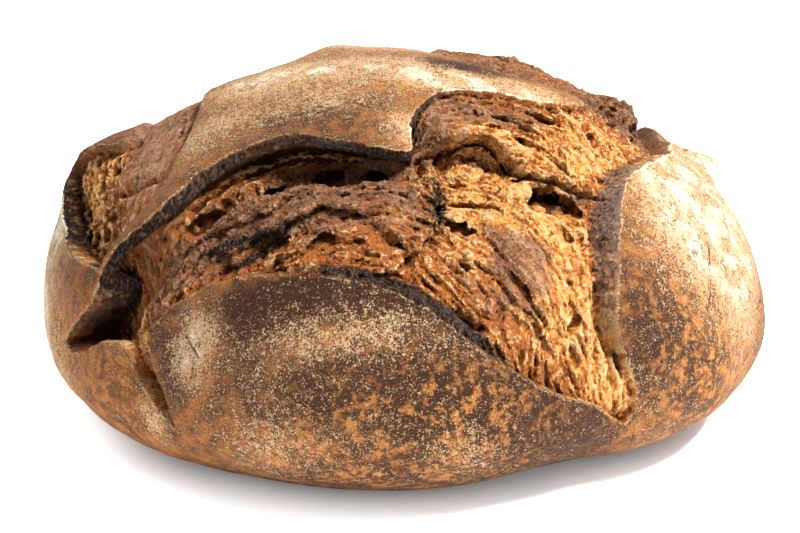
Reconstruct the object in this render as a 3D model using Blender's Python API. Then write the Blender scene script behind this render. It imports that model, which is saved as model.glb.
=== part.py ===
"""A sourdough boule: one baked loaf, scored with a square of four cuts that tore wide open in the oven.

The loaf stands on its flat base at z = 0, with the origin in the middle of the base. The front, where
the widest tear shows, faces -Y. Sizes are in metres. Places on the crust are given as seen from above the
loaf, in degrees away from the crown: (east, north), where east is +X and north is +Y. The crown is (0, 0)
and the belly, the widest part, is 90 degrees away from it on every side.
"""

from collections import namedtuple

import bmesh
import bpy
import numpy as np

MM = 0.001
TINY = 1e-9

# The plain dough body, before the cuts opened
HALF_WIDTH = 0.1290
HALF_DEPTH = 0.1225
CROWN_RISE = 0.0913
BELLY_HEIGHT = 0.0385
BELLY_DROP = 0.0445
TOP_ROUNDNESS = 2.0
UNDERSIDE_ROUNDNESS = 2.35
BASE_EDGE_SHARPNESS = 20
BASE_TRIM = 0.0045
BASE_SNAP = 0.0001
METRES_PER_DEGREE = 0.0021

# The crust: how wide the baked cut face is, the level of its swollen panels, and where they and its
# bumps fade out towards the underside, in degrees from the crown
CUT_FACE_WIDTH = 3.0 * MM
SPLAYED_FACE_WIDTH = 6.0 * MM
SPLAY_REACH = 14.0 * MM
EAR_RISE = 2.4 * MM
EAR_REACH = 8.0 * MM
PANEL_SWELL = 1.4 * MM
PANEL_SWELL_REACH = 16.0 * MM
TORN_REACH_DEGREES = 7.5
USUAL_DEPTH = 6.0
SWELL_ENDS = 90
BUMPS_END = 95
UNDERSIDE_STARTS = 125

# The mesh: a fine ball that is shaped first and thinned out at the end
BALL_SUBDIVISIONS = 8
TRIANGLES_KEPT = 10500

CRUST_COLOUR = (0.36, 0.17, 0.075, 1.0)
CRUST_ROUGHNESS = 0.78

# The edge of the outer crust, from the back left corner round the left side, the front and the right
OUTER_EDGE = [
    (-63, 40), (-60, 28), (-56, 16), (-56, 6), (-59.5, 1), (-64, 8.5), (-69, 11.5), (-72.5, 6.5),
    (-75, -1), (-74, -14), (-70.5, -27), (-65, -37), (-62, -42), (-66, -45), (-72, -43),
    (-78, -40), (-75, -47), (-66, -53), (-60, -59), (-58, -67), (-54, -77), (-53, -70), (-53, -64),
    (-50, -61), (-43, -61), (-34, -62), (-19, -66), (-6, -69), (6, -73), (17, -78), (32, -80),
    (45, -78), (56, -76), (55, -71), (47, -67), (44, -63), (43, -54), (43, -46), (45, -35), (51, -24),
    (57, -10), (59, 4), (57, 18), (56, 28), (64, 44), (52, 40), (40, 40), (22, 43), (2, 44), (-18, 43),
    (-36, 40), (-50, 42), (-62, 52),
]

# The edge of the crown panel, the square in the middle, from the tip of its ear along the front
CROWN_EDGE = [
    (-66, -43), (-57, -42), (-47, -42), (-39, -39), (-31, -37), (-22, -37), (-12, -41), (-4, -44),
    (2, -44), (2, -37), (4, -30), (9, -24), (19, -21), (27, -21), (35, -17), (40, -9),
    (33, -5), (24, -6), (16, -1), (8, 5), (-2, 13), (-14, 20), (-28, 20), (-38, 12),
    (-41, 0), (-42, -14), (-44, -28), (-49, -37),
]

# Where the crown's front edge curls up into an ear
EAR_LINE = [(-62, -42), (-51, -43), (-39, -39), (-28, -37), (-15, -40), (-4, -44), (2, -44)]

# Where the right panel's cut wall leans back and shows
SPLAYED_WALL = [(50, -72), (45, -64), (43, -55), (43, -46), (45, -35), (50, -25), (55, -14)]

# How far the torn crumb lies below the plain body: east, north, millimetres
TORN_FLOOR = [
    (-71, -9, 8.0), (-68, -26, 9.5), (-69, 5, 7.5), (-63, 3, 6.0), (-62, -6, 6.5), (-62, -37, 10.0),
    (-53, -12, 3.0), (-52, 9, 3.0), (-56, -29, 6.0), (-47, -30, 2.5),
    (-63, -47, 22.0), (-70, -44, 20.0), (-57, -49, 18.0), (-73, -42, 20.0),
    (-57, -57, 4.0), (-57, -66, 6.0), (-55, -73, 4.0),
    (-44, -53, 5.0), (-32, -50, 2.5), (-19, -54, 1.0), (-5, -52, 0.0), (-9, -63, 5.0), (-30, -60, 6.5),
    (-46, -43, 12.0), (-36, -42, 14.0), (-24, -40, 16.0), (-10, -43, 16.0), (0, -44, 12.0),
    (14, -51, 13.0), (12, -58, 11.0), (31, -51, 8.0), (11, -65, 7.0), (16, -70, 5.0), (33, -72, 7.0),
    (46, -74, 8.0), (40, -55, 7.5), (42, -62, 8.0), (52, -71, 9.0), (27, -61, 3.0),
    (13, -32, 2.0), (22, -28, 2.5), (34, -27, 3.0), (41, -31, 6.0), (50, -18, 5.0), (45, -4, 1.0),
    (50, 8, 1.5), (56, 4, 9.0), (55.5, -4, 12.0), (54, 13, 10.0), (39, 3, 5.0), (18, 16, 2.5),
    (32, 14, 4.0), (2, 27, 7.0), (-20, 31, 8.0), (-40, 26, 7.0), (-58, 24, 7.0), (40, 30, 8.0),
    (60, 38, 7.0), (-58, 46, 8.0),
]

# A ledge of torn crumb: its lip is on the left of its line, and the gully under it is on the right
Ledge = namedtuple("Ledge", "line lip lip_reach gully gully_reach")
LEDGES = [
    Ledge([(7, -45), (0, -47), (-10, -46.5), (-20, -44.5), (-28, -45), (-36, -46.5), (-44, -48),
           (-54, -48)], 2.0 * MM, 7.0 * MM, 7.0 * MM, 6.0 * MM),
    Ledge([(-4, -68), (1, -65.5), (5, -63), (8, -60), (9.5, -55), (9.5, -50), (9, -45), (7, -41)],
          3.5 * MM, 8.0 * MM, 4.0 * MM, 8.0 * MM),
    Ledge([(3, -44), (10, -40.5), (17, -38.5), (21, -41), (24, -44), (28, -46.5)],
          2.5 * MM, 7.0 * MM, 9.0 * MM, 6.0 * MM),
    Ledge([(21, -50), (25, -47), (29, -44.5), (33, -44), (38, -43.5), (42, -41)],
          2.5 * MM, 5.0 * MM, 8.0 * MM, 5.0 * MM),
    Ledge([(7, -56), (12, -54.5), (17, -54), (22, -53)],
          1.5 * MM, 4.0 * MM, 4.0 * MM, 3.0 * MM),
    Ledge([(-46, -50), (-36, -52), (-30, -53), (-25, -53), (-19, -49)],
          2.0 * MM, 4.0 * MM, 2.5 * MM, 3.5 * MM),
    Ledge([(-42, -57), (-32, -58), (-27, -58), (-22, -57), (-17, -55), (-10, -56), (-4, -58)],
          1.8 * MM, 4.0 * MM, 3.5 * MM, 4.0 * MM),
    Ledge([(14, -34), (20, -34), (27, -36), (33, -39), (38, -43)],
          1.2 * MM, 3.0 * MM, 1.4 * MM, 3.0 * MM),
]

# A raised rim, such as the flange along the front panel's edge, or a trench where its height is below zero
Rim = namedtuple("Rim", "line height reach")
RIMS = [
    Rim([(-24, -64), (-13, -66.5), (-4, -69), (4, -72), (12, -75), (20, -77.5)], 5.0 * MM, 2.6 * MM),
    Rim([(39, -46), (41, -52), (42, -58), (42.5, -63)], -6.0 * MM, 2.0 * MM),
    Rim([(40, -64), (44, -68), (50, -72.5), (54, -74)], -6.0 * MM, 4.0 * MM),
]

# Broad lumps and hollows of the body: east, north, height in millimetres, reach in degrees
LUMPS = [
    (48, 1, 5.5, 5.5), (27, 17, 3.0, 11), (-67, 9, 9.5, 8), (-30, 12, -4.5, 9),
    (-16, 8, 1.5, 6), (57, -2, -4.5, 4.5), (66, 3, 8.0, 5), (73, 1, -9.0, 5),
    (81, 8, -7.5, 13), (62, 9, -4.0, 6), (58, -98, -7.0, 26), (-98, -28, -3.2, 26), (-78, -8, -2.0, 7),
    (-20, -84, 1.5, 22), (15, 62, 2.5, 24), (-50, 66, 2.0, 20),
]

# Unevenness of crust and crumb: size of the bumps and their height
CRUST_BUMPS = [(26 * MM, 0.9 * MM), (11 * MM, 0.35 * MM)]
CRUMB_CRAGS = [(15 * MM, 1.6 * MM), (6.5 * MM, 1.3 * MM)]
LATTICE_SIZE = 32
NOISE_SEED = 7
CRUMB_SEED = 17


def clear_scene():
    """Removes what a new file holds."""
    for old in list(bpy.data.objects):
        bpy.data.objects.remove(old)


def smooth_step(low, high, value):
    """0 below low, 1 above high, and a soft change in between."""
    t = np.clip((value - low) / (high - low), 0, 1)
    return t * t * (3 - 2 * t)


def lattice_noise(points, size, seed):
    """Smooth noise from -1 to 1 at each point, with bumps about size across."""
    lattice = np.random.default_rng(seed).random((LATTICE_SIZE,) * 3) * 2 - 1
    cell = points / size
    corner = np.floor(cell).astype(int)
    part = cell - corner
    part = part * part * (3 - 2 * part)
    total = np.zeros(len(points))
    for dx in (0, 1):
        for dy in (0, 1):
            for dz in (0, 1):
                weight = (
                    np.where(dx, part[:, 0], 1 - part[:, 0])
                    * np.where(dy, part[:, 1], 1 - part[:, 1])
                    * np.where(dz, part[:, 2], 1 - part[:, 2])
                )
                total += weight * lattice[
                    (corner[:, 0] + dx) % LATTICE_SIZE,
                    (corner[:, 1] + dy) % LATTICE_SIZE,
                    (corner[:, 2] + dz) % LATTICE_SIZE,
                ]
    return total


def body_radius(direction):
    """How far the plain body reaches from its belly's centre, in each direction."""
    out = np.hypot(direction[:, 0], direction[:, 1])
    up = direction[:, 2]
    side = np.maximum(out, TINY)
    bulge = np.hypot(direction[:, 0] / side / HALF_WIDTH, direction[:, 1] / side / HALF_DEPTH)
    plan = 1 / np.maximum(bulge, TINY)
    reach = np.where(up > 0, CROWN_RISE, BELLY_DROP)
    roundness = np.where(up > 0, TOP_ROUNDNESS, UNDERSIDE_ROUNDNESS)
    radius = ((out / plan) ** roundness + (np.abs(up) / reach) ** roundness) ** (-1 / roundness)
    flat = BELLY_HEIGHT / np.maximum(-up, 1e-6)
    power = -BASE_EDGE_SHARPNESS
    return np.where(up < 0, (radius**power + flat**power) ** (1 / power), radius)


def crown_degrees(direction):
    """(east, north) of each direction, in degrees from the crown."""
    away = np.degrees(np.arccos(np.clip(direction[:, 2], -1, 1)))
    turn = np.arctan2(direction[:, 1], direction[:, 0])
    return np.stack([away * np.cos(turn), away * np.sin(turn)], axis=1)


def smooth_line(points, closed, steps=5):
    """A Catmull-Rom curve through the points, as a finer line."""
    points = np.array(points, float)
    count = len(points)
    spans = count if closed else count - 1
    line = []
    for i in range(spans):
        if closed:
            a, b, c, d = (points[(i + k) % count] for k in (-1, 0, 1, 2))
        else:
            a, b, c, d = (points[min(max(i + k, 0), count - 1)] for k in (-1, 0, 1, 2))
        for t in np.arange(steps) / steps:
            line.append(
                0.5 * (2 * b + (c - a) * t + (2 * a - 5 * b + 4 * c - d) * t**2
                       + (3 * b - a - 3 * c + d) * t**3)
            )
    if not closed:
        line.append(points[-1])
    return np.array(line)


Nearest = namedtuple("Nearest", "gap side ends")


def nearest(place, line, closed=False):
    """Measures each place against the line: the distance to it in metres, 1 on its left or -1 on its
    right, and 1 along its middle down to 0 at its two ends."""
    line = smooth_line(line, closed)
    starts, ends = (line, np.roll(line, -1, axis=0)) if closed else (line[:-1], line[1:])
    gap = np.full(len(place), np.inf)
    side = np.ones(len(place))
    along = np.zeros(len(place))
    for i, (start, end) in enumerate(zip(starts, ends)):
        run = end - start
        offset = place - start
        t = np.clip(offset @ run / max(run @ run, 1e-12), 0, 1)
        away = np.hypot(*(offset - t[:, None] * run).T)
        closer = away < gap
        gap = np.where(closer, away, gap)
        cross = run[0] * offset[:, 1] - run[1] * offset[:, 0]
        side = np.where(closer, np.where(cross >= 0, 1, -1), side)
        along = np.where(closer, (i + t) / len(starts), along)
    return Nearest(gap * METRES_PER_DEGREE, side, np.sin(np.pi * np.clip(along, 0, 1)) ** 0.5)


def near_line(place, line, reach):
    """1 on the line, fading to 0 over the reach, and over the line's two ends."""
    found = nearest(place, line)
    return np.exp(-((found.gap / reach) ** 2)) * found.ends


def inside(place, line):
    """True for each place inside the closed line."""
    loop = smooth_line(line, closed=True)
    crossings = np.zeros(len(place), int)
    for start, end in zip(loop, np.roll(loop, -1, axis=0)):
        spans = (start[1] > place[:, 1]) != (end[1] > place[:, 1])
        rise = end[1] - start[1] if end[1] != start[1] else 1e-12
        crossing = start[0] + (place[:, 1] - start[1]) * (end[0] - start[0]) / rise
        crossings += spans & (place[:, 0] < crossing)
    return crossings % 2 == 1


def torn_distance(place):
    """Distance from the crust's edge in metres: above 0 in the torn crumb, below 0 on the crust."""
    past_outer = nearest(place, OUTER_EDGE, closed=True).gap
    past_crown = nearest(place, CROWN_EDGE, closed=True).gap
    past_outer = np.where(inside(place, OUTER_EDGE), past_outer, -past_outer)
    past_crown = np.where(inside(place, CROWN_EDGE), -past_crown, past_crown)
    return np.minimum(past_outer, past_crown)


def torn_floor(place):
    """How far the torn crumb lies below the plain body, blended between the named places."""
    weight = np.full(len(place), TINY)
    depth = np.full(len(place), TINY * USUAL_DEPTH)
    for east, north, below in TORN_FLOOR:
        near = np.exp(-((place[:, 0] - east) ** 2 + (place[:, 1] - north) ** 2) / TORN_REACH_DEGREES**2)
        weight += near
        depth += near * below
    return depth / weight * MM


def ledge_relief(place):
    """The height that the ledges and rims add to the torn crumb."""
    height = np.zeros(len(place))
    for ledge in LEDGES:
        gap, side, ends = nearest(place, ledge.line)
        lip = ledge.lip * np.exp(-gap / ledge.lip_reach)
        gully = -ledge.gully * np.exp(-((gap / ledge.gully_reach) ** 2))
        height += ends * np.where(side > 0, lip, gully)
    for rim in RIMS:
        height += rim.height * near_line(place, rim.line, rim.reach)
    return height


def bumps(points, sizes, first_seed):
    """The sum of noise of several sizes, each (size, height)."""
    return sum(
        height * lattice_noise(points, size, first_seed + i) for i, (size, height) in enumerate(sizes)
    )


def relief(place, points):
    """How far the baked surface stands above the plain body at each place."""
    torn = torn_distance(place)
    away = np.hypot(place[:, 0], place[:, 1])
    lumps = sum(
        height * MM * np.exp(-((place[:, 0] - east) ** 2 + (place[:, 1] - north) ** 2) / reach**2)
        for east, north, height, reach in LUMPS
    )
    crust = PANEL_SWELL * smooth_step(0, PANEL_SWELL_REACH, -torn)
    crust *= smooth_step(UNDERSIDE_STARTS, SWELL_ENDS, away)
    crust += EAR_RISE * near_line(place, EAR_LINE, EAR_REACH)
    crust += bumps(points, CRUST_BUMPS, NOISE_SEED) * smooth_step(UNDERSIDE_STARTS, BUMPS_END, away)
    crumb = -torn_floor(place) + ledge_relief(place) + bumps(points, CRUMB_CRAGS, CRUMB_SEED)
    splay = near_line(place, SPLAYED_WALL, SPLAY_REACH)
    face_width = CUT_FACE_WIDTH + (SPLAYED_FACE_WIDTH - CUT_FACE_WIDTH) * splay
    face = smooth_step(0, 1, torn / face_width)
    return lumps + crust * (1 - face) + crumb * face


def make_loaf():
    """The whole loaf as one closed mesh object."""
    shape = bmesh.new()
    bmesh.ops.create_icosphere(shape, subdivisions=BALL_SUBDIVISIONS, radius=1)
    direction = np.array([v.co for v in shape.verts], float)
    direction /= np.linalg.norm(direction, axis=1)[:, None]
    plain = body_radius(direction)
    points = direction * plain[:, None]
    radius = plain + relief(crown_degrees(direction), points)
    baked = direction * radius[:, None]
    middle = (baked.min(axis=0) + baked.max(axis=0)) / 2
    baked -= [middle[0], middle[1], BASE_TRIM - BELLY_HEIGHT]
    baked[:, 2] = np.maximum(baked[:, 2], 0)
    for vertex, place in zip(shape.verts, baked):
        vertex.co = place
    mesh = bpy.data.meshes.new("boule")
    shape.to_mesh(mesh)
    shape.free()
    loaf = bpy.data.objects.new("boule", mesh)
    bpy.context.scene.collection.objects.link(loaf)
    return loaf


def thin_out(loaf):
    """Leaves fewer triangles, most of them in the tears, and makes the base flat again."""
    thin = loaf.modifiers.new("thin_out", "DECIMATE")
    thin.ratio = TRIANGLES_KEPT / len(loaf.data.polygons)
    thin.use_collapse_triangulate = True
    graph = bpy.context.evaluated_depsgraph_get()
    mesh = bpy.data.meshes.new_from_object(loaf.evaluated_get(graph))
    loaf.modifiers.clear()
    loaf.data = mesh
    mesh.name = "boule"
    for vertex in mesh.vertices:
        if vertex.co.z < BASE_SNAP:
            vertex.co.z = 0
    mesh.shade_smooth()


def crust_material():
    """The dark baked crust."""
    material = bpy.data.materials.new("crust")
    material.use_nodes = True
    shader = material.node_tree.nodes["Principled BSDF"]
    shader.inputs["Base Color"].default_value = CRUST_COLOUR
    shader.inputs["Roughness"].default_value = CRUST_ROUGHNESS
    shader.inputs["Metallic"].default_value = 0.0
    return material


clear_scene()
boule = make_loaf()
thin_out(boule)
boule.data.materials.append(crust_material())
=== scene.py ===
"""The looks of a sourdough boule: a round hearth loaf, scored in a square and torn wide open in the oven.

The loaf is shaped as a field of values in space: how far each point lies outside the baked surface. The
field has the plain dough body, the swollen crust panels, the torn crumb between them, the overhanging ear,
and the crumb's caves and holes. A net of faces is then drawn over the place where it is zero. Lengths are in
metres. Places on the crust are seen from above, in degrees away from the crown: (east, north), where east is
+X and north is +Y.
"""

import logging
import math
from dataclasses import dataclass, field
from enum import Enum
from functools import reduce
from typing import Iterable, Sequence

import bpy
import numpy as np
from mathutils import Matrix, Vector


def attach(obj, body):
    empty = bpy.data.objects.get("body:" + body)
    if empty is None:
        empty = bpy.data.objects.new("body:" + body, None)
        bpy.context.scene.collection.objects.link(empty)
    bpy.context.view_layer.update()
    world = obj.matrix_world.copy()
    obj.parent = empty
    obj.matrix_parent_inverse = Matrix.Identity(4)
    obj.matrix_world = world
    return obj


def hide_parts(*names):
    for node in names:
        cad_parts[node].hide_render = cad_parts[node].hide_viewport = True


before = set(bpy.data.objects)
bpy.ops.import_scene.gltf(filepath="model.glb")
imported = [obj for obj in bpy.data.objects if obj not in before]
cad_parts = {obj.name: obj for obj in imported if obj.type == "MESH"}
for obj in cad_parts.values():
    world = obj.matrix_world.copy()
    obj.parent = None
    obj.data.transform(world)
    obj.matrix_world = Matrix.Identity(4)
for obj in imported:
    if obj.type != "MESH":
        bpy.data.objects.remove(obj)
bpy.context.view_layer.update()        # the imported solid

NODE = "boule"
BODY = "root"
MM = 0.001
METRES_PER_DEGREE = 0.0021
ON_THE_FLOOR = 0.1 * MM
TINY = 1e-9

Place = tuple[float, float]
Sizes = tuple[tuple[float, float], ...]
Colour = tuple[float, float, float]
log = logging.getLogger("boule")


class Finish(Enum):
    """The finishes that the scene gives out."""

    BAKED = "baked_loaf"
    STUDIO = "studio_paper"


def smooth_step(low: float, high: float, value: np.ndarray) -> np.ndarray:
    """Returns 0 below low, 1 above high, and a soft change in between."""
    t = np.clip((value - low) / (high - low), 0, 1)
    return t * t * (3 - 2 * t)


def softened(values: np.ndarray, reach: float) -> np.ndarray:
    """Blends each value of a square with its neighbours.

    Args:
        values: the square of values.
        reach: how many cells it is blended over, about.

    Returns:
        The blended square.
    """
    rows = np.fft.fftfreq(len(values))[:, None]
    columns = np.fft.rfftfreq(len(values))[None, :]
    kept = np.exp(-2 * (math.pi * reach) ** 2 * (rows**2 + columns**2))
    return np.fft.irfft2(np.fft.rfft2(values) * kept, s=values.shape)


class BakedNoise:
    """Smooth noise from -1 to 1, from a wrapped lattice of seeded random values."""

    cells: int = 32

    def __init__(self, seed: int) -> None:
        """Draws the lattice.

        Args:
            seed: what makes this noise differ from another one.
        """
        self.lattice = (np.random.default_rng(seed).random(self.cells**3) * 2 - 1).astype(np.float32)

    def at(self, points: np.ndarray, size: float | Sequence[float]) -> np.ndarray:
        """Reads the noise.

        Args:
            points: the places to read it at, one row each.
            size: how far apart its bumps are, the same in each direction or one for each axis.

        Returns:
            One value for each point.
        """
        cell = points / np.asarray(size, np.float32)
        corner = np.floor(cell).astype(np.int32)
        part = (cell - corner).astype(np.float32)
        part = part * part * (3 - 2 * part)
        low = corner % self.cells
        high = (corner + 1) % self.cells
        total = np.zeros(len(points), np.float32)
        for x, along_x in ((low[:, 0], 1 - part[:, 0]), (high[:, 0], part[:, 0])):
            for y, along_y in ((low[:, 1], 1 - part[:, 1]), (high[:, 1], part[:, 1])):
                row = (x * self.cells + y) * self.cells
                share = along_x * along_y
                total += share * self.lattice[row + low[:, 2]] * (1 - part[:, 2])
                total += share * self.lattice[row + high[:, 2]] * part[:, 2]
        return total


@dataclass(frozen=True)
class Line:
    """A smooth line through a few places on the crust."""

    places: tuple[Place, ...]
    closed: bool = False
    steps: int = 5

    def smooth(self) -> np.ndarray:
        """Draws the Catmull-Rom curve through the places.

        Returns:
            The curve's points, as rows.
        """
        points = np.array(self.places, float)
        count = len(points)
        line = []
        for i in range(count if self.closed else count - 1):
            if self.closed:
                a, b, c, d = (points[(i + k) % count] for k in (-1, 0, 1, 2))
            else:
                a, b, c, d = (points[min(max(i + k, 0), count - 1)] for k in (-1, 0, 1, 2))
            for t in np.arange(self.steps) / self.steps:
                bend = (2 * a - 5 * b + 4 * c - d) * t**2 + (3 * b - a - 3 * c + d) * t**3
                line.append(0.5 * (2 * b + (c - a) * t + bend))
        if not self.closed:
            line.append(points[-1])
        return np.array(line)

    def nearest(self, chart: "Chart", margin: float = 14.0) -> "Nearest":
        """Measures the places near the line against it.

        Args:
            chart: the chart whose places are measured.
            margin: how near those are, in degrees. The rest count as just this far away.

        Returns:
            Their distance, side, share of the line and the direction to the line's right.
        """
        line = self.smooth()
        starts, ends = (line, np.roll(line, -1, axis=0)) if self.closed else (line[:-1], line[1:])
        found = Nearest(chart.count, margin)
        for i, (start, end) in enumerate(zip(starts, ends)):
            first, last = np.minimum(start, end) - margin, np.maximum(start, end) + margin
            block = tuple(slice(chart.index(first[k]), chart.index(last[k]) + 1) for k in (1, 0))
            run = end - start
            east = chart.axis[block[1]][None, :] - start[0]
            north = chart.axis[block[0]][:, None] - start[1]
            t = np.clip((east * run[0] + north * run[1]) / max(run @ run, TINY**2), 0, 1)
            gap = np.hypot(east - t * run[0], north - t * run[1])
            closer = gap < found.gap[block]
            cross = run[0] * north - run[1] * east
            right = np.array([run[1], -run[0]]) / max(math.hypot(*run), TINY)
            found.gap[block] = np.where(closer, gap, found.gap[block])
            found.side[block] = np.where(closer, np.where(cross >= 0, 1, -1), found.side[block])
            found.along[block] = np.where(closer, (i + t) / len(starts), found.along[block])
            found.east[block] = np.where(closer, right[0], found.east[block])
            found.north[block] = np.where(closer, right[1], found.north[block])
        return found.flat()

    def inside(self, place: np.ndarray) -> np.ndarray:
        """Tells which places the closed line goes round.

        Args:
            place: (east, north) of each place.

        Returns:
            True for each place inside it.
        """
        crossings = np.zeros(len(place), int)
        line = self.smooth()
        for start, end in zip(line, np.roll(line, -1, axis=0)):
            spans = (start[1] > place[:, 1]) != (end[1] > place[:, 1])
            rise = end[1] - start[1] if end[1] != start[1] else TINY
            border = start[0] + (place[:, 1] - start[1]) * (end[0] - start[0]) / rise
            crossings += spans & (place[:, 0] < border)
        return crossings % 2 == 1


class Nearest:
    """How the places of a chart lie against a line."""

    def __init__(self, count: int, margin: float) -> None:
        """Starts with nothing near.

        Args:
            count: how many places each side of the chart has.
            margin: how far away they start, in degrees.
        """
        self.gap = np.full((count, count), margin)
        self.side = np.ones((count, count))
        self.along = np.zeros((count, count))
        self.east = np.zeros((count, count))
        self.north = np.zeros((count, count))

    def flat(self) -> "Nearest":
        """Turns the measures into metres, with one value for each place in a row.

        Returns:
            Itself.
        """
        self.gap = self.gap.ravel() * METRES_PER_DEGREE
        self.side, self.along = self.side.ravel(), self.along.ravel()
        self.east, self.north = self.east.ravel(), self.north.ravel()
        return self

    def near(self, reach: float) -> np.ndarray:
        """Returns 1 on the line, fading to 0 over the reach, and over the line's two ends."""
        return np.exp(-((self.gap / reach) ** 2)) * self.taper()

    def taper(self) -> np.ndarray:
        """Returns 0 at the line's ends and 1 in its middle."""
        return np.sqrt(np.sin(np.pi * np.clip(self.along, 0, 1)))


@dataclass(frozen=True)
class Ledge:
    """A shelf of torn crumb: its lip is on the left of its line, and the gully under it is on the right."""

    line: Line
    lip: float
    lip_reach: float
    gully: float
    gully_reach: float
    overhang: float = 0.6


@dataclass(frozen=True)
class Cave:
    """A hollow under a flap of crumb: the middle of its mouth and its half sizes.

    It runs in under the surface on its left, at its tilt from straight down. Its middle rises so far above
    the crumb.
    """

    east: float
    north: float
    long: float
    wide: float
    turn: float
    depth: float
    tilt: float = 60.0
    rise: float = 0.0


@dataclass(frozen=True)
class Rim:
    """A thin raised edge, such as a burnt flange, or a trench where the height is below zero."""

    line: Line
    height: float
    reach: float
    jag: float = 0.0


@dataclass(frozen=True)
class Spot:
    """A soft round patch on the crust: its place, amount and reach in degrees."""

    east: float
    north: float
    amount: float
    reach: float
    reach_north: float = 0.0
    turn: float = 0.0

    def at(self, place: np.ndarray) -> np.ndarray:
        """Reads the patch.

        Args:
            place: (east, north) of each place.

        Returns:
            One value for each place.
        """
        east = place[:, 0] - self.east
        north = place[:, 1] - self.north
        turn = math.radians(self.turn)
        long = (east * math.cos(turn) + north * math.sin(turn)) / self.reach
        wide = (north * math.cos(turn) - east * math.sin(turn)) / (self.reach_north or self.reach)
        return self.amount * np.exp(-(long**2) - wide**2)


def total(spots: Iterable[Spot], place: np.ndarray) -> np.ndarray:
    """Returns the sum of the patches at each place."""
    return sum(spot.at(place) for spot in spots)


@dataclass(frozen=True)
class Patches:
    """A named amount over the crust, as the sum of soft patches from 0 to 1."""

    name: str
    spots: tuple[Spot, ...]

    def at(self, place: np.ndarray) -> np.ndarray:
        """Returns the amount at each place."""
        return np.clip(total(self.spots, place), 0, 1)


@dataclass(frozen=True)
class DoughBody:
    """The plain loaf before its cuts opened: a flattened ball on a flat base."""

    half_width: float = 0.1290
    half_depth: float = 0.1225
    crown_rise: float = 0.0913
    belly_height: float = 0.0385
    belly_drop: float = 0.0445
    underside_roundness: float = 2.35
    base_edge_sharpness: float = 20.0
    base_trim: float = 0.0045

    def floor(self) -> float:
        """Returns the height of the flat base, from the belly's centre."""
        return -self.belly_height + self.base_trim

    def over(self, points: np.ndarray) -> np.ndarray:
        """Measures points against the body.

        Args:
            points: points from the belly's centre.

        Returns:
            How far out each lies from the body's surface, along the line to the centre.
        """
        x, y, z = points.T
        far = np.maximum(np.sqrt(x * x + y * y + z * z), 1e-6)
        plan = (x / self.half_width) ** 2 + (y / self.half_depth) ** 2
        top = far / np.sqrt(plan + (z / self.crown_rise) ** 2 + 1e-12)
        power = self.underside_roundness
        low = far * (plan ** (power / 2) + np.abs(z / self.belly_drop) ** power + 1e-12) ** (-1 / power)
        flat = self.belly_height * far / np.maximum(-z, 1e-5)
        sharp = -self.base_edge_sharpness
        low = low * (1 + (flat / low) ** sharp) ** (1 / sharp)
        return far - np.where(z > 0, top, low)

    def place(self, points: np.ndarray) -> np.ndarray:
        """Finds where points are seen from above.

        Args:
            points: points from the belly's centre.

        Returns:
            (east, north) of each point, in degrees from the crown.
        """
        out = np.hypot(points[:, 0], points[:, 1])
        away = np.degrees(np.arctan2(out, points[:, 2]))
        scale = away / np.maximum(out, TINY)
        return np.stack([points[:, 0] * scale, points[:, 1] * scale], axis=1)


class Chart:
    """Named values laid out over the crust, read at any place by blending the four values round it."""

    reach: float = 132.0
    step: float = 0.25

    def __init__(self) -> None:
        """Lays out the empty chart."""
        self.axis = np.arange(-self.reach, self.reach + self.step, self.step)
        self.count = len(self.axis)
        self.cell = self.step * METRES_PER_DEGREE
        north, east = np.meshgrid(self.axis, self.axis, indexing="ij")
        self.place = np.stack([east.ravel(), north.ravel()], axis=1)
        self.names: list[str] = []
        self.layers: list[np.ndarray] = []

    def index(self, degrees: float) -> int:
        """Returns the number of the row or column nearest to so many degrees."""
        return int(np.clip(round((degrees + self.reach) / self.step), 0, self.count - 1))

    def add(self, name: str, values: np.ndarray) -> None:
        """Keeps a layer of values under a name."""
        self.names.append(name)
        self.layers.append(values.astype(np.float32))

    def read(self, place: np.ndarray, *names: str) -> list[np.ndarray]:
        """Reads layers.

        Args:
            place: (east, north) of each place.
            names: the layers to read.

        Returns:
            One array for each layer.
        """
        spot = np.clip((place + self.reach) / self.step, 0, self.count - 1.001)
        cell = spot.astype(np.int32)
        part = (spot - cell).astype(np.float32)
        corner = cell[:, 1] * self.count + cell[:, 0]
        east, north = part.T
        found = []
        for name in names:
            layer = self.layers[self.names.index(name)]
            south_side = layer[corner] * (1 - east) + layer[corner + 1] * east
            north_side = layer[corner + self.count] * (1 - east) + layer[corner + self.count + 1] * east
            found.append(south_side * (1 - north) + north_side * north)
        return found


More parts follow.
